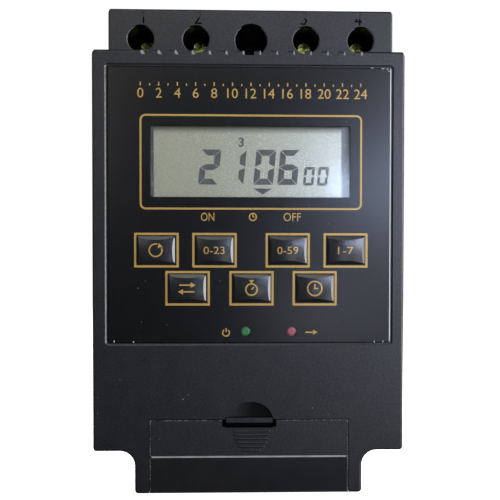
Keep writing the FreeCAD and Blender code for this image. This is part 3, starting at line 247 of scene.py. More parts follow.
# Lights: name, azimuth and elevation in degrees as seen from the front, then distance, width and height in
# metres, power in watts, and colour. Cool ones stand in a row to the right, dim neutral ones above and to the
# left, and two are behind.
studio_lights = [
    ("right_small", 9, 2.9, 0.75, 0.1, 0.03, 0.19, (0.57, 0.70, 1.0)),
    ("right_low", 4.6, -6.4, 0.75, 0.08, 0.06, 0.06, (0.8, 0.85, 1.0)),
    ("right_tall", 18, 5.5, 0.75, 0.12, 0.15, 1.1, (0.68, 0.75, 1.0)),
    ("right_under", 18, -12, 0.75, 0.12, 0.08, 0.16, (0.75, 0.83, 1.0)),
    ("right_broad", 28, 0, 0.7, 0.14, 0.2, 0.75, (1.0, 0.93, 0.72)),
    ("right_side", 42, 0, 0.6, 0.18, 0.34, 2.7, (0.95, 0.96, 1.0)),
    ("right_far", 66, 5, 0.6, 0.24, 0.4, 2.0, (0.9, 0.95, 1.0)),
    ("above_front", -5, 22, 0.38, 0.2, 0.06, 0.04, (1.0, 1.0, 0.9)),
    ("above_near", -10, 36, 0.34, 0.25, 0.08, 0.2, (1.0, 1.0, 1.0)),
    ("left_high", -22, 8, 0.8, 0.24, 0.16, 0.22, (1.0, 1.0, 1.0)),
    ("behind_left", -125, 30, 0.9, 0.4, 0.4, 14.0, (0.95, 0.97, 1.0)),
    ("behind_right", 125, 30, 0.9, 0.4, 0.4, 14.0, (0.95, 0.97, 1.0)),
]
light_aim = Vector((0.0, -30.0, 0.0)) * MM

# Background and floor. The floor's half width and the distances of its fade are in metres.
backdrop_strength = 1.05
ambient_strength = 0.02
floor_half_width = 3.0
floor_glow = 0.96
floor_fade_start = 0.1
floor_fade_end = 0.5

# Camera, fitted to the edges in the photograph. Angles are in degrees, the shift in image widths.
camera_place = Vector((5.06, -293.0, 5.25)) * MM
camera_yaw = 2.144
camera_pitch = 1.705
camera_roll = 0.165
camera_shift = -0.1142
focal_length = 71.1
sensor_width = 36.0


# Materials

def new_material(name):
    material = bpy.data.materials.new(name)
    material.use_nodes = True
    material.node_tree.nodes.clear()
    return material


def add_node(material, kind, **values):
    """Adds a node and sets its plain inputs by name."""
    node = material.node_tree.nodes.new(kind)
    for key, value in values.items():
        node.inputs[key.replace("_", " ")].default_value = value
    return node


def link(material, source, target):
    material.node_tree.links.new(source, target)


def coordinates(material):
    return material.node_tree.nodes.new("ShaderNodeTexCoord").outputs["Object"]


def noise(material, scale, detail=3.0, roughness=0.55):
    """Noise in object space. The scale is in waves per metre."""
    node = add_node(material, "ShaderNodeTexNoise", Scale=scale, Detail=detail, Roughness=roughness)
    link(material, coordinates(material), node.inputs["Vector"])
    return node.outputs["Fac"]


def axis_place(material, axis):
    """Place along one axis of object space, in metres."""
    split = material.node_tree.nodes.new("ShaderNodeSeparateXYZ")
    link(material, coordinates(material), split.inputs[0])
    return split.outputs[axis]


def spread(material, value, lowest, highest, start=0.3, end=0.7):
    """Maps a value from the range start to end onto the range lowest to highest."""
    node = add_node(material, "ShaderNodeMapRange")
    node.inputs["From Min"].default_value = start
    node.inputs["From Max"].default_value = end
    node.inputs["To Min"].default_value = lowest
    node.inputs["To Max"].default_value = highest
    link(material, value, node.inputs["Value"])
    return node.outputs["Result"]


def product(material, first, second):
    node = material.node_tree.nodes.new("ShaderNodeMath")
    node.operation = "MULTIPLY"
    link(material, first, node.inputs[0])
    link(material, second, node.inputs[1])
    return node.outputs[0]


def larger(material, first, second):
    node = material.node_tree.nodes.new("ShaderNodeMath")
    node.operation = "MAXIMUM"
    link(material, first, node.inputs[0])
    link(material, second, node.inputs[1])
    return node.outputs[0]


def within(material, value, start, end, soft=soft_end):
    """One where a value lies between two places in millimetres, and zero elsewhere, with soft ends."""
    rise = spread(material, value, 0.0, 1.0, (start - soft) * MM, (start + soft) * MM)
    fall = spread(material, value, 1.0, 0.0, (end - soft) * MM, (end + soft) * MM)
    return product(material, rise, fall)


def inside(material, *spans):
    """One inside a box. Each span is a place along an axis, its two ends and, if given, their softness."""
    mask = within(material, *spans[0])
    for span in spans[1:]:
        mask = product(material, mask, within(material, *span))
    return mask


def mix_colour(material, share, first, second):
    """Mixes two colours. Each is a colour or a socket, and so is the share."""
    node = material.node_tree.nodes.new("ShaderNodeMix")
    node.data_type = "RGBA"
    for socket, value in ((node.inputs[0], share), (node.inputs[6], first), (node.inputs[7], second)):
        if isinstance(value, bpy.types.NodeSocket):
            link(material, value, socket)
        elif isinstance(value, tuple):
            socket.default_value = (*value, 1.0)
        else:
            socket.default_value = value
    return node.outputs[2]


def set_colour(material, shader, pattern, dark, light):
    """Colours a shader from dark to light by a pattern."""
    colour = mix_colour(material, spread(material, pattern, 0.0, 1.0), dark, light)
    link(material, colour, shader.inputs["Base Color"])


def set_roughness(material, shader, pattern, least, most):
    link(material, spread(material, pattern, least, most), shader.inputs["Roughness"])


def shade(material, shader, colour, mask, gloss):
    """Paints shade: returns a colour that is nearly black where a mask is one, and dulls the shader there."""
    link(material, spread(material, mask, lit_gloss, gloss, 0.0, 1.0), shader.inputs["Specular IOR Level"])
    return mix_colour(material, mask, colour, shade_colour)


def bump(material, height, strength, distance):
    node = add_node(material, "ShaderNodeBump", Strength=strength, Distance=distance)
    link(material, height, node.inputs["Height"])
    return node.outputs["Normal"]


def specks(material, scale, size):
    """Sparse light specks, as of dust: the middles of a few random cells."""
    cells = add_node(material, "ShaderNodeTexVoronoi", Scale=scale)
    link(material, coordinates(material), cells.inputs["Vector"])
    dots = spread(material, cells.outputs["Distance"], 1.0, 0.0, size * 0.6, size)
    chosen = material.node_tree.nodes.new("ShaderNodeSeparateColor")
    link(material, cells.outputs["Color"], chosen.inputs["Color"])
    rare = spread(material, chosen.outputs[0], 0.0, 1.0, 0.86, 0.92)
    return product(material, dots, rare)


def finish_material(material, shader):
    output = material.node_tree.nodes.new("ShaderNodeOutputMaterial")
    link(material, shader.outputs[0], output.inputs["Surface"])
    return material


def plastic(name, dark, light, rough, grain=3500.0, grain_depth=0.02, dust=0.0, coat=0.0, wear_and_painted_light=None,
            rough_range=0.04):
    """Moulded plastic: mottled colour, a fine grain that also varies the gloss, some dust, and local wear and
    painted light.
    """
    material = new_material(name)
    shader = add_node(material, "ShaderNodeBsdfPrincipled")
    shader.inputs["Coat Weight"].default_value = coat
    shader.inputs["Coat Roughness"].default_value = 0.08
    mottle = noise(material, mottle_waves, 4.0)
    colour = mix_colour(material, spread(material, mottle, 0.0, 1.0), dark, light)
    if dust:
        colour = mix_colour(material, specks(material, dust_cells, dust_dot), colour, (dust, dust, dust))
    # Wear, and painted highlights and painted shade, laid over the colour
    if wear_and_painted_light:
        colour = wear_and_painted_light(material, shader, colour)
    link(material, colour, shader.inputs["Base Color"])
    fine = noise(material, grain, 4.0, 0.7)
    set_roughness(material, shader, fine, rough - 0.03, rough + rough_range)
    link(material, bump(material, fine, 0.5, grain_depth * MM), shader.inputs["Normal"])
    return finish_material(material, shader)


def mottle_gloss(material, shader):
    """Gloss that varies from grain to grain, and in patches between neutral and bluish."""
    patches = spread(material, noise(material, gloss_patch_waves, 4.0, 0.7), 0.0, 1.0)
    tint = mix_colour(material, patches, (1.0, 1.0, 0.94), (0.86, 0.86, 1.0))
    grains = spread(material, noise(material, gloss_grain_waves, 3.0, 0.7), 0.0, 0.75, 0.35, 0.65)
    tint = mix_colour(material, grains, tint, (0.4, 0.4, 0.44))
    link(material, tint, shader.inputs["Specular Tint"])


def rib_tips(material, x, y, z):
    """Mask of the painted highlights on the tips of the vent ribs, one in every pitch."""
    along = add_node(material, "ShaderNodeMath")
    along.operation = "WRAP"
    link(material, x, along.inputs[0])
    along.inputs[1].default_value = (rib_tip_first + vent_pitch) * MM
    along.inputs[2].default_value = rib_tip_first * MM
    foot = high("face_overlay").z + rib_tip_above_film
    return inside(
        material, (along.outputs[0], rib_tip_left, rib_tip_right), (x, -vent_reach, vent_reach),
        (z, foot, foot + rib_tip_height), (y, film_front - rib_tip_ahead, film_front + rib_tip_behind))


def hole_rims(material, x, y, z):
    """Mask of the painted highlights on the rims of the shelf holes."""
    return inside(
        material, (x, -hole_reach, hole_reach), (z, hole_low, marks_low),
        (y, shelf_front + shelf_skin, shelf_front + hole_rim, sharp_end))


def dark_places(material, x, y, z):
    """Mask of the painted shade in the pressed-in marks, the insides of the shelf holes and the finger scoop.
    """
    marks = inside(
        material, (x, -hole_reach, hole_reach), (z, marks_low, hole_high),
        (y, shelf_front + shelf_skin, shelf_shade_end, sharp_end))
    holes = inside(
        material, (x, -hole_reach, hole_reach), (z, hole_low, hole_high),
        (y, shelf_front + hole_rim, shelf_shade_end))
    scoop = inside(
        material, (x, -scoop_reach, scoop_reach), (z, scoop_low, scoop_high),
        (y, film_front + scoop_skin, film_front + scoop_depth))
    share = spread(material, x, scoop_dim_share, scoop_dark_share, scoop_dim * MM, scoop_dark * MM)
    return larger(material, product(material, scoop, share), larger(material, marks, holes))


def housing_wear(material, shader, colour):
    """Painted highlights on the rib tips and hole rims, painted shade in the marks, holes and scoop, and a
    mottled gloss.
    """
    place = [axis_place(material, axis) for axis in "XYZ"]
    # Painted highlights on the rib tips
    colour = mix_colour(material, rib_tips(material, *place), colour, rib_tip_highlight_colour)
    # Painted highlights on the rims of the shelf holes
    colour = mix_colour(material, hole_rims(material, *place), colour, hole_rim_highlight_colour)
    mottle_gloss(material, shader)
    # Painted shade in the marks, the insides of the holes and the scoop
    return shade(material, shader, colour, dark_places(material, *place), hole_gloss)


def cover_wear(material, shader, colour):
    """Worn edge along the top and both sides of the battery cover, in dots, and a painted shadow on the lower
    half of its tongue.
    """
    mottle_gloss(material, shader)
    x = axis_place(material, "X")
    z = axis_place(material, "Z")
    left = low("battery_label").x - cover_side
    right = high("battery_label").x + cover_side
    head = high("battery_label").z + cover_above_label
    tongue = (left + right) / 2
    over_tongue = within(material, x, tongue - tongue_reach, tongue + tongue_reach)
    beside = spread(material, over_tongue, 1.0, 0.0, 0.0, 1.0)
    top_edge = product(material, beside, within(material, z, head - worn_line, head))
    left_edge = within(material, x, left, left + worn_line)
    right_edge = within(material, x, right - worn_line, right)
    dots = spread(material, noise(material, worn_dot_waves, 1.0), 0.0, 1.0, 0.5, 0.6)
    for edge in (left_edge, right_edge, top_edge):
        colour = mix_colour(material, product(material, dots, edge), colour, worn_colour)
    # Painted shadow on the lower half of the tongue
    tongue_shadow = inside(
        material, (x, tongue - tongue_shadow_reach, tongue + tongue_shadow_reach),
        (z, head - tongue_shadow_low, head - tongue_shadow_high, tongue_shadow_soft))
    return shade(material, shader, colour, tongue_shadow, tongue_shadow_gloss)


def film_wear(material, shader, colour):
    """Painted highlight along the right cut edge of the printed film."""
    x = axis_place(material, "X")
    right = high("face_overlay").x
    edge = within(material, x, right - film_edge_line, right + film_edge_over, film_edge_soft)
    return mix_colour(material, edge, colour, film_edge_highlight_colour)


def metal(name, dark, light, rough, grain=900.0):
    """Bare or plated metal with fine scratches and slight tarnish."""
    material = new_material(name)
    shader = add_node(material, "ShaderNodeBsdfPrincipled", Metallic=1.0)
    set_colour(material, shader, noise(material, tarnish_waves, 4.0), dark, light)
    fine = noise(material, grain, 3.0)
    set_roughness(material, shader, fine, rough - 0.08, rough + 0.1)
    link(material, bump(material, fine, 0.25, 0.02 * MM), shader.inputs["Normal"])
    return finish_material(material, shader)


def gold_ink():
    """Printed metallic ink: slightly uneven cover, satin."""
    material = new_material("gold_ink")
    shader = add_node(material, "ShaderNodeBsdfPrincipled", Metallic=0.2)
    cover = noise(material, ink_waves, 3.0)
    set_colour(material, shader, cover, (0.39, 0.245, 0.064), (0.425, 0.27, 0.074))
    set_roughness(material, shader, cover, 0.27, 0.31)
    link(material, bump(material, cover, 0.3, 0.01 * MM), shader.inputs["Normal"])
    return finish_material(material, shader)


def clear_window():
    """Clear plate: lets the display through and mirrors the light at its surface."""
    material = new_material("clear_window")
    through = add_node(material, "ShaderNodeBsdfTransparent")
    through.inputs["Color"].default_value = (0.97, 0.98, 0.97, 1.0)
    shine = add_node(material, "ShaderNodeBsdfAnisotropic")
    set_roughness(material, shine, noise(material, 2500.0, 2.0), 0.1, 0.12)
    edge = add_node(material, "ShaderNodeFresnel", IOR=1.4)
    both = material.node_tree.nodes.new("ShaderNodeMixShader")
    link(material, edge.outputs[0], both.inputs[0])
    link(material, through.outputs[0], both.inputs[1])
    link(material, shine.outputs[0], both.inputs[2])
    return finish_material(material, both)


def polariser():
    """Front of a reflective display: grey-green, with a broad sheen, a fine grain and a painted shadow along
    its top.
    """
    material = new_material("polariser")
    shader = add_node(material, "ShaderNodeBsdfPrincipled", IOR=polariser_index)
    cloudy = spread(material, noise(material, 60.0, 2.0), 0.0, 1.0)
    colour = mix_colour(material, cloudy, (0.43, 0.415, 0.28), (0.46, 0.445, 0.305))
    # Painted shadow: colour and gloss darken towards the top border of the window
    edge = high("display_window").z - window_border
    lit = spread(material, axis_place(material, "Z"), 1.0, 0.12, (edge - top_shade) * MM, edge * MM)
    colour = mix_colour(material, lit, (0.0, 0.0, 0.0), colour)
    link(material, colour, shader.inputs["Base Color"])
    link(material, spread(material, lit, 0.0, 0.5, 0.1, 1.0), shader.inputs["Specular IOR Level"])
    fine = noise(material, 6000.0, 2.0)
    set_roughness(material, shader, fine, 0.25, 0.28)
    link(material, bump(material, fine, 0.1, 0.004 * MM), shader.inputs["Normal"])
    return finish_material(material, shader)


def lcd_glass():
    """Bare ledges of the display glass beside the polariser: pale grey with a lavender cast."""
    material = new_material("lcd_glass")
    shader = add_node(material, "ShaderNodeBsdfPrincipled", Metallic=0.3)
    cloudy = noise(material, 300.0, 2.0)
    set_colour(material, shader, cloudy, (0.2, 0.19, 0.185), (0.25, 0.24, 0.235))
    set_roughness(material, shader, cloudy, 0.24, 0.28)
    return finish_material(material, shader)


def lamp_lens(name, dark, light):
    """Diffused lamp body that is switched off."""
    material = new_material(name)
    shader = add_node(material, "ShaderNodeBsdfPrincipled")
    shader.inputs["Subsurface Weight"].default_value = 0.25
    shader.inputs["Subsurface Radius"].default_value = (0.0006, 0.0004, 0.0003)
    shader.inputs["Subsurface Scale"].default_value = 0.5
    cloudy = noise(material, 900.0, 3.0)
    set_colour(material, shader, cloudy, dark, light)
    set_roughness(material, shader, cloudy, 0.22, 0.34)
    return finish_material(material, shader)


def circuit_board():
    """Lacquered board: green with darker lines where the copper runs beneath."""
    material = new_material("circuit_board")
    shader = add_node(material, "ShaderNodeBsdfPrincipled")
    shader.inputs["Coat Weight"].default_value = 0.4
    shader.inputs["Coat Roughness"].default_value = 0.15
    tracks = material.node_tree.nodes.new("ShaderNodeTexBrick")
    tracks.inputs["Scale"].default_value = 130.0
    tracks.inputs["Mortar Size"].default_value = 0.06
    tracks.inputs["Color1"].default_value = (0.02, 0.14, 0.05, 1.0)
    tracks.inputs["Color2"].default_value = (0.03, 0.17, 0.06, 1.0)
    tracks.inputs["Mortar"].default_value = (0.07, 0.3, 0.1, 1.0)
    turned = material.node_tree.nodes.new("ShaderNodeMapping")
    turned.inputs["Rotation"].default_value = (math.pi / 2, 0.0, 0.0)
    link(material, coordinates(material), turned.inputs["Vector"])
    link(material, turned.outputs[0], tracks.inputs["Vector"])
    link(material, tracks.outputs["Color"], shader.inputs["Base Color"])
    set_roughness(material, shader, noise(material, 1500.0), 0.35, 0.5)
    return finish_material(material, shader)


def ribbon_cable():
    """Flat grey cable with a groove between its wires."""
    material = new_material("ribbon_cable")
    shader = add_node(material, "ShaderNodeBsdfPrincipled", Roughness=0.45)
    waves = add_node(material, "ShaderNodeTexWave", Scale=150.0, Distortion=0.0)
    link(material, coordinates(material), waves.inputs["Vector"])
    colour = mix_colour(material, waves.outputs["Fac"], (0.3, 0.3, 0.32), (0.5, 0.5, 0.52))
    link(material, colour, shader.inputs["Base Color"])
    link(material, bump(material, waves.outputs["Fac"], 0.6, 0.2 * MM), shader.inputs["Normal"])
    return finish_material(material, shader)


def lcd_ink():
    """Dark segments of the display, seen through its polariser."""
    material = new_material("lcd_ink")
    shader = add_node(material, "ShaderNodeBsdfPrincipled")
    cloudy = noise(material, 500.0, 2.0)
    set_colour(material, shader, cloudy, (0.085, 0.09, 0.1), (0.12, 0.125, 0.135))
    set_roughness(material, shader, cloudy, 0.35, 0.45)
    return finish_material(material, shader)


finishes = {
    # The housing, cover and film finishes carry painted highlights and painted shade on top of their own
    # colour
    "housing": plastic(
        "housing", (0.008, 0.008, 0.009), (0.012, 0.012, 0.013), 0.31, 1500.0, 0.02, dust=0.1,
        wear_and_painted_light=housing_wear, rough_range=0.07),
    "cover": plastic(
        "cover", (0.008, 0.008, 0.009), (0.011, 0.011, 0.012), 0.35, 1500.0, 0.02, dust=0.1,
        wear_and_painted_light=cover_wear, rough_range=0.07),
    "label": plastic("label", (0.008, 0.008, 0.009), (0.012, 0.012, 0.013), 0.22, 3000.0, 0.005, dust=0.05),
    "film": plastic(
        "film", (0.0025, 0.0025, 0.0028), (0.004, 0.004, 0.0044), 0.215, 3500.0, 0.006, dust=0.12,
        wear_and_painted_light=film_wear),
    "window": clear_window(),
    "lcd_glass": lcd_glass(),
    "key": plastic("key", (0.007, 0.007, 0.008), (0.01, 0.01, 0.011), 0.24, 1800.0, 0.006, coat=0.15),
    "grey_plastic": plastic("grey_plastic", (0.028, 0.028, 0.031), (0.038, 0.038, 0.042), 0.5, 2600.0, 0.03),
    "frame_plastic": plastic("frame_plastic", (0.05, 0.05, 0.055), (0.065, 0.065, 0.07), 0.45, 2600.0, 0.02),
    "steel": metal("steel", (0.5, 0.5, 0.51), (0.66, 0.66, 0.66), 0.32),
    "brass": metal("brass", (0.66, 0.5, 0.2), (0.86, 0.7, 0.34), 0.28),
    "copper": metal("copper", (0.6, 0.28, 0.13), (0.78, 0.42, 0.22), 0.3, 2500.0),
    "board": circuit_board(),
    "green_lamp": lamp_lens("green_lamp", (0.02, 0.12, 0.04), (0.04, 0.18, 0.07)),
    "red_lamp": lamp_lens("red_lamp", (0.22, 0.06, 0.075), (0.3, 0.1, 0.12)),
    "elastomer": plastic("elastomer", (0.045, 0.045, 0.05), (0.065, 0.065, 0.07), 0.65, 1500.0, 0.03),
    "ribbon": ribbon_cable(),
    "cell": plastic("cell", (0.13, 0.14, 0.18), (0.17, 0.18, 0.22), 0.25, 1200.0, 0.005, coat=0.5),
    "component": plastic("component", (0.10, 0.14, 0.24), (0.14, 0.18, 0.28), 0.35, 2200.0, 0.01),
}
plated = metal("plated_brass", (0.12, 0.13, 0.02), (0.9, 0.9, 0.33), 0.15, 500.0)
gold = gold_ink()
segment_ink = lcd_ink()
polariser_look = polariser()
paper_edge = plastic("paper_edge", (0.2, 0.2, 0.2), (0.3, 0.3, 0.3), 0.6)
dust_grain = plastic("dust_grain", (0.3, 0.31, 0.33), (0.42, 0.43, 0.45), 0.7)


def dress_nodes():
    """Gives every node the finish of its slot in the record, and the terminal screws a bright plating."""
    for name, node in nodes.items():
        for slot in node.material_slots:
            slot.material = finishes[slot.material.name.split(".")[0]]
            if name.startswith("terminal_screw"):
                slot.material = plated


# Flat shapes, as lists of outlines in X and Z

def rounded_corners(x, z, width, height, radius, steps=6):
    """Outline of a rounded rectangle about a middle."""
    points = []
    for corner, (side, end) in enumerate(((1, 1), (-1, 1), (-1, -1), (1, -1))):
        for step in range(steps + 1):
            angle = math.pi / 2 * (corner + step / steps)
            points.append((
                x + side * (width / 2 - radius) + radius * math.cos(angle),
                z + end * (height / 2 - radius) + radius * math.sin(angle)))
    return points


def between(outer, inner):
    """Quads between two outlines with as many points."""
    count = len(outer)
    return [[outer[i], outer[(i + 1) % count], inner[(i + 1) % count], inner[i]] for i in range(count)]


def frame_shape(x, z, width, height, line, radius):
    outer = rounded_corners(x, z, width, height, radius)
    inner = rounded_corners(x, z, width - 2 * line, height - 2 * line, max(radius - line, radius / 4))
    return between(outer, inner)


def circle_points(x, z, radius, steps=28, start=0.0, end=360.0):
    full = abs(end - start) >= 360.0
    count = steps if full else steps + 1
    angles = [math.radians(start + (end - start) * i / steps) for i in range(count)]
    return [(x + radius * math.cos(a), z + radius * math.sin(a)) for a in angles]


def ring(x, z, radius, line=sign_line):
    return between(circle_points(x, z, radius + line / 2), circle_points(x, z, radius - line / 2))


def arc(x, z, radius, start, end, line=sign_line, steps=18):
    """Part of a ring, from one angle to another, in degrees."""
    outer = circle_points(x, z, radius + line / 2, steps, start, end)
    inner = circle_points(x, z, radius - line / 2, steps, start, end)
    return between(outer, inner)[:-1]


def bar(x0, z0, x1, z1, line=sign_line):
    """Straight stroke with square ends."""
    along = Vector((x1 - x0, z1 - z0)).normalized() * line / 2
    across = Vector((-along.y, along.x))
    return [[
        (x0 - across.x, z0 - across.y), (x1 - across.x, z1 - across.y),
        (x1 + across.x, z1 + across.y), (x0 + across.x, z0 + across.y)]]


def arrow_head(x, z, angle, size):
    """Triangle that points along an angle, in degrees, with its tip ahead of the place given."""
    turn = math.radians(angle)
    points = []
    for ahead, aside in ((size * 0.62, 0.0), (-size * 0.38, size * 0.55), (-size * 0.38, -size * 0.55)):
        points.append((
            x + ahead * math.cos(turn) - aside * math.sin(turn),
            z + ahead * math.sin(turn) + aside * math.cos(turn)))
    return [points]


def fine_steps(outline):
    """Adds points along the long sides of an outline, so that it can follow a curved surface."""
    points = []
    for (x0, z0), (x1, z1) in zip(outline, outline[1:] + outline[:1]):
        count = max(1, math.ceil(math.hypot(x1 - x0, z1 - z0) / longest_step))
        points += [(x0 + (x1 - x0) * i / count, z0 + (z1 - z0) * i / count) for i in range(count)]
    return points


# Pieces

def keep_piece(obj, name, material, body):
    obj.name = name
    obj.data.name = name
    obj.data.materials.clear()
    obj.data.materials.append(material)
    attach(obj, body)
    return obj


def closed_piece(bm, name, material, body):
    """Turns a mesh of closed solids into a piece, with its faces pointing outwards."""
    bmesh.ops.recalc_face_normals(bm, faces=bm.faces[:])
    return keep_piece(mesh_object(bm, name), name, material, body)


def mesh_object(bm, name):
    mesh = bpy.data.meshes.new(name)
    bm.to_mesh(mesh)
    bm.free()
    obj = bpy.data.objects.new(name, mesh)
    bpy.context.scene.collection.objects.link(obj)
    return obj


def raised_shapes(bm, shapes, back, front):
    """Adds flat shapes to a mesh as closed solids from a back to a front, both places along Y."""
    faces = []
    for outline in shapes:
        corners = [bm.verts.new((x * MM, back * MM, z * MM)) for x, z in outline]
        faces.append(bm.faces.new(corners))
    made = {corner for face in faces for corner in face.verts}
    bmesh.ops.remove_doubles(bm, verts=list(made), dist=weld_distance * MM)
    faces = [face for face in bm.faces if face.is_valid and face.tag is False]
    raised = bmesh.ops.extrude_face_region(bm, geom=faces)
    tops = [item for item in raised["geom"] if isinstance(item, bmesh.types.BMVert)]
    bmesh.ops.translate(bm, verts=tops, vec=(0.0, (front - back) * MM, 0.0))
    for face in bm.faces:
        face.tag = True


def printed(name, shapes, front, material=gold, body="housing"):
    """A print on a surface whose front is at a place along Y."""
    bm = bmesh.new()
    raised_shapes(bm, shapes, front + ink_sink, front - ink_height)
    return closed_piece(bm, name, material, body)


def drape(obj, node):
    """Lays a print, made at the foremost place of a node, onto the node's crowned front."""
    mesh = nodes[node].data
    tree = BVHTree.FromPolygons([v.co for v in mesh.vertices], [tuple(p.vertices) for p in mesh.polygons])
    foremost = low(node).y * MM
    for v in obj.data.vertices:
        hit = tree.ray_cast(Vector((v.co.x, -1.0, v.co.z)), Vector((0.0, 1.0, 0.0)))[0]
        v.co.y += hit.y - foremost


def letters_into(bm, text, x, z, width, height, front, weight=0.0):
    """Adds lettering as raised solids, centred at x, standing on z, at a height and, if given, a width."""
    curve = bpy.data.curves.new("letters", "FONT")
    curve.body = text
    curve.extrude = 0.5
    curve.offset = weight
    curve.resolution_u = 4
    made = bpy.data.objects.new("letters", curve)
    bpy.context.scene.collection.objects.link(made)
    bpy.context.view_layer.update()
    mesh = bpy.data.meshes.new_from_object(made)
    bpy.data.objects.remove(made)
    xs = [v.co.x for v in mesh.vertices]
    zs = [v.co.y for v in mesh.vertices]
    tall = height / (max(zs) - min(zs))
    wide = tall if width is None else width / (max(xs) - min(xs))
    for v in mesh.vertices:
        v.co = Vector((
            (x + (v.co.x - (max(xs) + min(xs)) / 2) * wide) * MM,
            (front + ink_sink - (v.co.z + 0.5) * (ink_height + ink_sink)) * MM,
            (z + (v.co.y - min(zs)) * tall) * MM))
    bm.from_mesh(mesh)
    bpy.data.meshes.remove(mesh)


def lettered(name, words, front, body="housing"):
    """Gold lettering as one piece. Each word is its text, middle, foot, width or None, and height."""
    bm = bmesh.new()
    for text, x, z, width, height in words:
        letters_into(bm, text, x, z, width, height, front)
    bmesh.ops.remove_doubles(bm, verts=bm.verts[:], dist=letter_weld_distance * MM)
    return closed_piece(bm, name, gold, body)


# Gold print on the film

def display_frame():
    shape = frame_shape(
        display_frame_x, display_frame_z, display_frame_width, display_frame_height,
        display_frame_line, display_frame_corner)
    printed("display_frame_print", shape, film_front)


def key_frames():
    for key in key_names:
        place = middle(key)
        x = place.x + key_frame_shifts.get(key, 0.0)
        shape = frame_shape(
            x, place.z, key_frame_width, key_frame_height, key_frame_line, key_frame_corner)
        printed(key + "_frame_print", shape, film_front)


def hour_scale():
    """Scale of the day's hours where a title would stand: a number at every second hour, ticks between."""
    step = (scale_right - scale_left) / scale_hours
    words = []
    ticks = []
    for hour in range(scale_hours + 1):
        x = scale_left + hour * step
        if hour % 2 == 0:
            words.append((str(hour), x, numeral_low, None, numeral_height))
        tall = tick_long if hour % 2 == 0 else tick_short
        ticks += bar(x, tick_low, x, tick_low + tall, tick_width)
    lettered("hour_scale_numbers", words, film_front)
    printed("hour_scale_ticks", ticks, film_front)


def display_legends():
    """The two words under the display and a small clock face between them."""
    words = [(text, x, legend_low, width, legend_height) for text, x, width in switch_words]
    lettered("switch_legends", words, film_front)
    x = clock_legend_x
    radius = legend_height / 2
    z = legend_low + radius
    clock = ring(x, z, radius - clock_legend_line / 2, clock_legend_line)
    clock += bar(x, z, x, z + radius * 0.6, clock_legend_hand)
    clock += bar(x, z, x + radius * 0.45, z, clock_legend_hand)
    printed("clock_legend", clock, film_front)


def lamp_legends():
    """A power sign before the first lamp and an arrow after the second."""
    z = lamp_legend_z
    x = power_legend_x
    power = arc(x, z - 0.1, 0.8, 125, 415, lamp_legend_line) + bar(x, z + 0.1, x, z + 1.0, lamp_legend_line)
    printed("power_lamp_legend", power, film_front)
    x = output_legend_x
    arrow = bar(x - 1.4, z, x + 0.6, z, 0.32) + arrow_head(x + 0.85, z, 0, 1.1)
    printed("output_lamp_legend", arrow, film_front)


# Signs on the keys

def turning_arrow(x, z):
    head = circle_points(x, z, sign_radius, 8, 45, 405)[0]
    return arc(x, z, sign_radius, 75, 380) + arrow_head(head[0] - 0.1, head[1], 105, 1.1)


def exchange_arrows(x, z):
    """Two opposite arrows, one above the other."""
    shape = bar(x - 1.8, z + 0.8, x + 1.1, z + 0.8) + arrow_head(x + 1.35, z + 0.8, 0, 1.2)
    shape += bar(x - 1.1, z - 0.8, x + 1.8, z - 0.8) + arrow_head(x - 1.35, z - 0.8, 180, 1.2)
    return shape


def stopwatch(x, z):
    shape = ring(x, z - 0.25, 1.35) + bar(x, z - 0.25, x + 0.6, z + 0.35, 0.3)
    shape += bar(x, z + 1.2, x, z + 1.75, 0.4) + bar(x - 0.5, z + 1.85, x + 0.5, z + 1.85, 0.32)
    return shape


def clock_dial(x, z):
    """Round dial with two hands and a dot at the middle."""
    shape = ring(x, z, sign_radius + 0.2)
    shape += bar(x, z, x, z + 1.1, 0.3) + bar(x, z, x + 0.8, z, 0.3)
    return shape + [circle_points(x, z, 0.24, 12)]


key_signs = {
    "reset_key": turning_arrow,
    "mode_key": exchange_arrows,
    "timer_key": stopwatch,
    "clock_key": clock_dial,
}
key_numbers = {"hour_key": "0-23", "minute_key": "0-59", "week_key": "1-7"}


def key_prints():
    """A sign on four of the keys, and the range of numbers that the other three set."""
    for key, sign in key_signs.items():
        place = middle(key)
        outlines = [fine_steps(outline) for outline in sign(place.x, place.z)]
        drape(printed(key + "_sign", outlines, low(key).y, body=key), key)
    longest = max(len(numbers) for numbers in key_numbers.values())
    for key, numbers in key_numbers.items():
        place = middle(key)
        foot = place.z - key_number_height / 2
        width = key_number_width * len(numbers) / longest
        word = (numbers, place.x, foot, width, key_number_height)
        drape(lettered(key + "_sign", [word], low(key).y, body=key), key)


# Display contents

digit_segments = {"0": "abcdef", "1": "bc", "2": "abged", "6": "afgedc"}


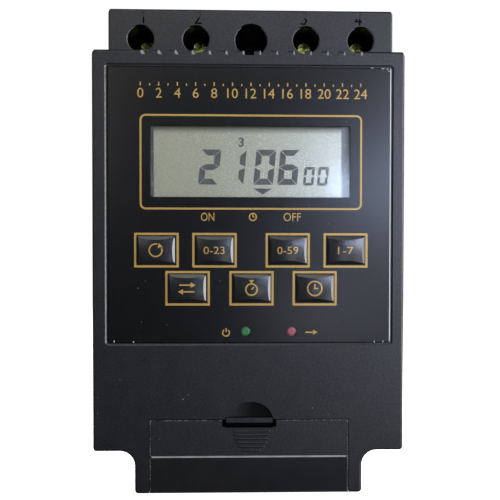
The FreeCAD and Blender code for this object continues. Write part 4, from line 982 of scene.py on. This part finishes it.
def segment_shapes(x, z, width, height, line, gap, digit):
    """Slanted seven-segment digit, from its lower left corner, with a gap at every joint."""
    half = height / 2
    corners = {
        "a": ((0, height), (width, height), (width - line, height - line), (line, height - line)),
        "d": ((line, line), (width - line, line), (width, 0), (0, 0)),
        "f": ((0, height), (line, height - line), (line, half + line / 2), (0, half)),
        "e": ((0, half), (line, half - line / 2), (line, line), (0, 0)),
        "b": ((width, height), (width, half), (width - line, half + line / 2), (width - line, height - line)),
        "c": ((width, half), (width, 0), (width - line, line), (width - line, half - line / 2)),
        "g": (
            (0, half), (line, half + line / 2), (width - line, half + line / 2),
            (width, half), (width - line, half - line / 2), (line, half - line / 2)),
    }
    shapes = []
    for name in digit_segments[digit]:
        outline = corners[name]
        cx = sum(point[0] for point in outline) / len(outline)
        cz = sum(point[1] for point in outline) / len(outline)
        wide = max(point[0] for point in outline) - min(point[0] for point in outline)
        tall = max(point[1] for point in outline) - min(point[1] for point in outline)
        kx = 1 - 2 * gap / wide if name in "adg" else 1.0
        kz = 1 - 2 * gap / tall if name not in "adg" else 1.0
        shapes.append([
            (x + cx + (px - cx) * kx + (cz + (pz - cz) * kz) * digit_lean, z + cz + (pz - cz) * kz)
            for px, pz in outline])
    return shapes


def polariser_piece():
    """Front polariser of the display glass, which leaves a narrow ledge of bare glass at either side."""
    foot = low("display_window").z + window_border
    head = high("display_window").z - window_border
    bm = bmesh.new()
    outline = rounded_corners(
        (polariser_left + polariser_right) / 2, (foot + head) / 2,
        polariser_right - polariser_left, head - foot, polariser_corner, 2)
    raised_shapes(bm, [outline], glass_front + ink_sink, glass_front - polariser_thickness)
    closed_piece(bm, "front_polariser", polariser_look, "housing")


def display_contents():
    """Time digits, small seconds, the day's number and the pointer under the digits."""
    front = glass_front - polariser_thickness
    shapes = []
    for digit, x in digit_places:
        shapes += segment_shapes(x, digit_low, digit_width, digit_height, digit_line, digit_gap, digit)
    for x in small_digit_places:
        shapes += segment_shapes(
            x, small_digit_low, small_digit_width, small_digit_height, small_digit_line, small_digit_gap, "0")
    shapes += [[
        (pointer_left, pointer_top), (pointer_right, pointer_top),
        ((pointer_left + pointer_right) / 2, pointer_tip)]]
    printed("display_digits", shapes, front, segment_ink)
    bm = bmesh.new()
    letters_into(
        bm, "3", day_number_x, day_number_low, None, day_number_height, front, day_number_weight)
    closed_piece(bm, "day_number", segment_ink, "housing")


# Loose label edge and dust

def label_edge():
    """Pale edge along the top of the label, where the paper under its print shows."""
    bm = bmesh.new()
    left = low("battery_label").x
    right = high("battery_label").x
    head = high("battery_label").z + label_edge_height
    foot = high("battery_label").z - label_edge_overlap
    outline = fine_steps([(left, foot), (right, foot), (right, head), (left, head)])
    raised_shapes(bm, [outline], low("battery_cover").y + ink_sink, label_front - label_edge_ahead)
    closed_piece(bm, "label_top_edge", paper_edge, "battery_door")


def lump(bm, x, y, z, width, height, depth):
    """One small uneven grain about a place."""
    made = bmesh.ops.create_icosphere(bm, subdivisions=1, radius=0.5)["verts"]
    for v in made:
        v.co *= random.uniform(grain_least, grain_most)
        v.co = Vector(((x + v.co.x * width) * MM, (y + v.co.y * depth) * MM, (z + v.co.z * height) * MM))


def grains(name, places, body):
    """Several grains as one piece. Each place is its middle in X, Y and Z, its width and its height."""
    bm = bmesh.new()
    for x, y, z, width, height in places:
        lump(bm, x, y, z, width, height, min(width, height) * grain_flatness)
    keep_piece(mesh_object(bm, name), name, dust_grain, body)


def dust():
    """Specks on the front of the housing and the film, and flecks along the film's edge."""
    front = low("front_housing").y
    film_low = low("face_overlay")
    film_high = high("face_overlay")
    body_places = []
    film_places = []
    for x, z in speck_places:
        over_film = film_low.x < x < film_high.x and film_low.z < z < film_high.z
        places = film_places if over_film else body_places
        places.append((x, film_front if over_film else front, z, speck_size, speck_size))
    grains("dust_specks", body_places + film_places, "housing")
    flecks = [(x, film_front, z, fleck_width, fleck_height) for x, z in fleck_places]
    flecks += [(x, film_front, z, width, corner_fleck_height) for x, z, width in corner_fleck_places]
    grains("edge_flecks", flecks, "housing")


# Studio

def add_camera():
    camera = bpy.data.cameras.new("camera")
    camera.lens = focal_length
    camera.sensor_width = sensor_width
    camera.shift_x = camera_shift
    camera.clip_start = 0.01
    camera.clip_end = 20.0
    made = bpy.data.objects.new("camera", camera)
    bpy.context.scene.collection.objects.link(made)
    yaw = Matrix.Rotation(math.radians(-camera_yaw), 4, "Z")
    pitch = Matrix.Rotation(math.radians(90.0 - camera_pitch), 4, "X")
    roll = Matrix.Rotation(math.radians(camera_roll), 4, "Z")
    made.matrix_world = Matrix.Translation(camera_place) @ yaw @ pitch @ roll
    bpy.context.scene.camera = made


def add_light(name, azimuth, elevation, distance, width, height, power, colour):
    """Soft light aimed at the front, unseen by the camera."""
    lamp = bpy.data.lights.new(name, "AREA")
    lamp.shape = "RECTANGLE"
    lamp.size = width
    lamp.size_y = height
    lamp.energy = power
    lamp.color = colour
    made = bpy.data.objects.new(name, lamp)
    bpy.context.scene.collection.objects.link(made)
    side = math.radians(azimuth)
    rise = math.radians(elevation)
    way = Vector((math.sin(side) * math.cos(rise), -math.cos(side) * math.cos(rise), math.sin(rise)))
    made.location = light_aim + way * distance
    made.rotation_euler = (-way).to_track_quat("-Z", "Y").to_euler()
    made.visible_camera = False


def add_lights():
    for light in studio_lights:
        add_light(*light)


def add_world():
    """White behind the object, and dim grey for everything else that looks at it."""
    world = bpy.data.worlds.new("studio")
    bpy.context.scene.world = world
    world.use_nodes = True
    tree = world.node_tree
    tree.nodes.clear()
    output = tree.nodes.new("ShaderNodeOutputWorld")
    seen = tree.nodes.new("ShaderNodeBackground")
    seen.inputs["Color"].default_value = (1.0, 1.0, 1.0, 1.0)
    seen.inputs["Strength"].default_value = backdrop_strength
    around = tree.nodes.new("ShaderNodeBackground")
    around.inputs["Color"].default_value = (0.9, 0.95, 1.0, 1.0)
    around.inputs["Strength"].default_value = ambient_strength
    path = tree.nodes.new("ShaderNodeLightPath")
    both = tree.nodes.new("ShaderNodeMixShader")
    tree.links.new(path.outputs["Is Camera Ray"], both.inputs[0])
    tree.links.new(around.outputs[0], both.inputs[1])
    tree.links.new(seen.outputs[0], both.inputs[2])
    tree.links.new(both.outputs[0], output.inputs["Surface"])


def add_floor():
    """Pale floor under the foot that fades into the white behind."""
    bm = bmesh.new()
    bmesh.ops.create_grid(bm, x_segments=1, y_segments=1, size=floor_half_width)
    bmesh.ops.translate(bm, verts=bm.verts[:], vec=(0.0, 0.0, cad_box[0][2]))
    floor = mesh_object(bm, "floor")
    material = new_material("floor")
    matte = add_node(material, "ShaderNodeBsdfDiffuse")
    grain = noise(material, 12.0)
    link(material, mix_colour(material, grain, (0.9, 0.9, 0.9), (0.94, 0.94, 0.94)), matte.inputs["Color"])
    lit = add_node(material, "ShaderNodeEmission", Strength=floor_glow)
    white = material.node_tree.nodes.new("ShaderNodeAddShader")
    link(material, matte.outputs[0], white.inputs[0])
    link(material, lit.outputs[0], white.inputs[1])
    clear = add_node(material, "ShaderNodeBsdfTransparent")
    distance = material.node_tree.nodes.new("ShaderNodeVectorMath")
    distance.operation = "LENGTH"
    link(material, coordinates(material), distance.inputs[0])
    fade = spread(material, distance.outputs["Value"], 0.0, 1.0, floor_fade_start, floor_fade_end)
    both = material.node_tree.nodes.new("ShaderNodeMixShader")
    link(material, fade, both.inputs[0])
    link(material, white.outputs[0], both.inputs[1])
    link(material, clear.outputs[0], both.inputs[2])
    floor.data.materials.append(finish_material(material, both))
    floor.visible_diffuse = False
    floor.visible_glossy = False


random.seed(4)
add_camera()
add_world()
add_lights()
add_floor()
dress_nodes()
display_frame()
key_frames()
hour_scale()
display_legends()
lamp_legends()
key_prints()
polariser_piece()
display_contents()
label_edge()
dust()
bpy.context.scene.view_settings.view_transform = "Standard"
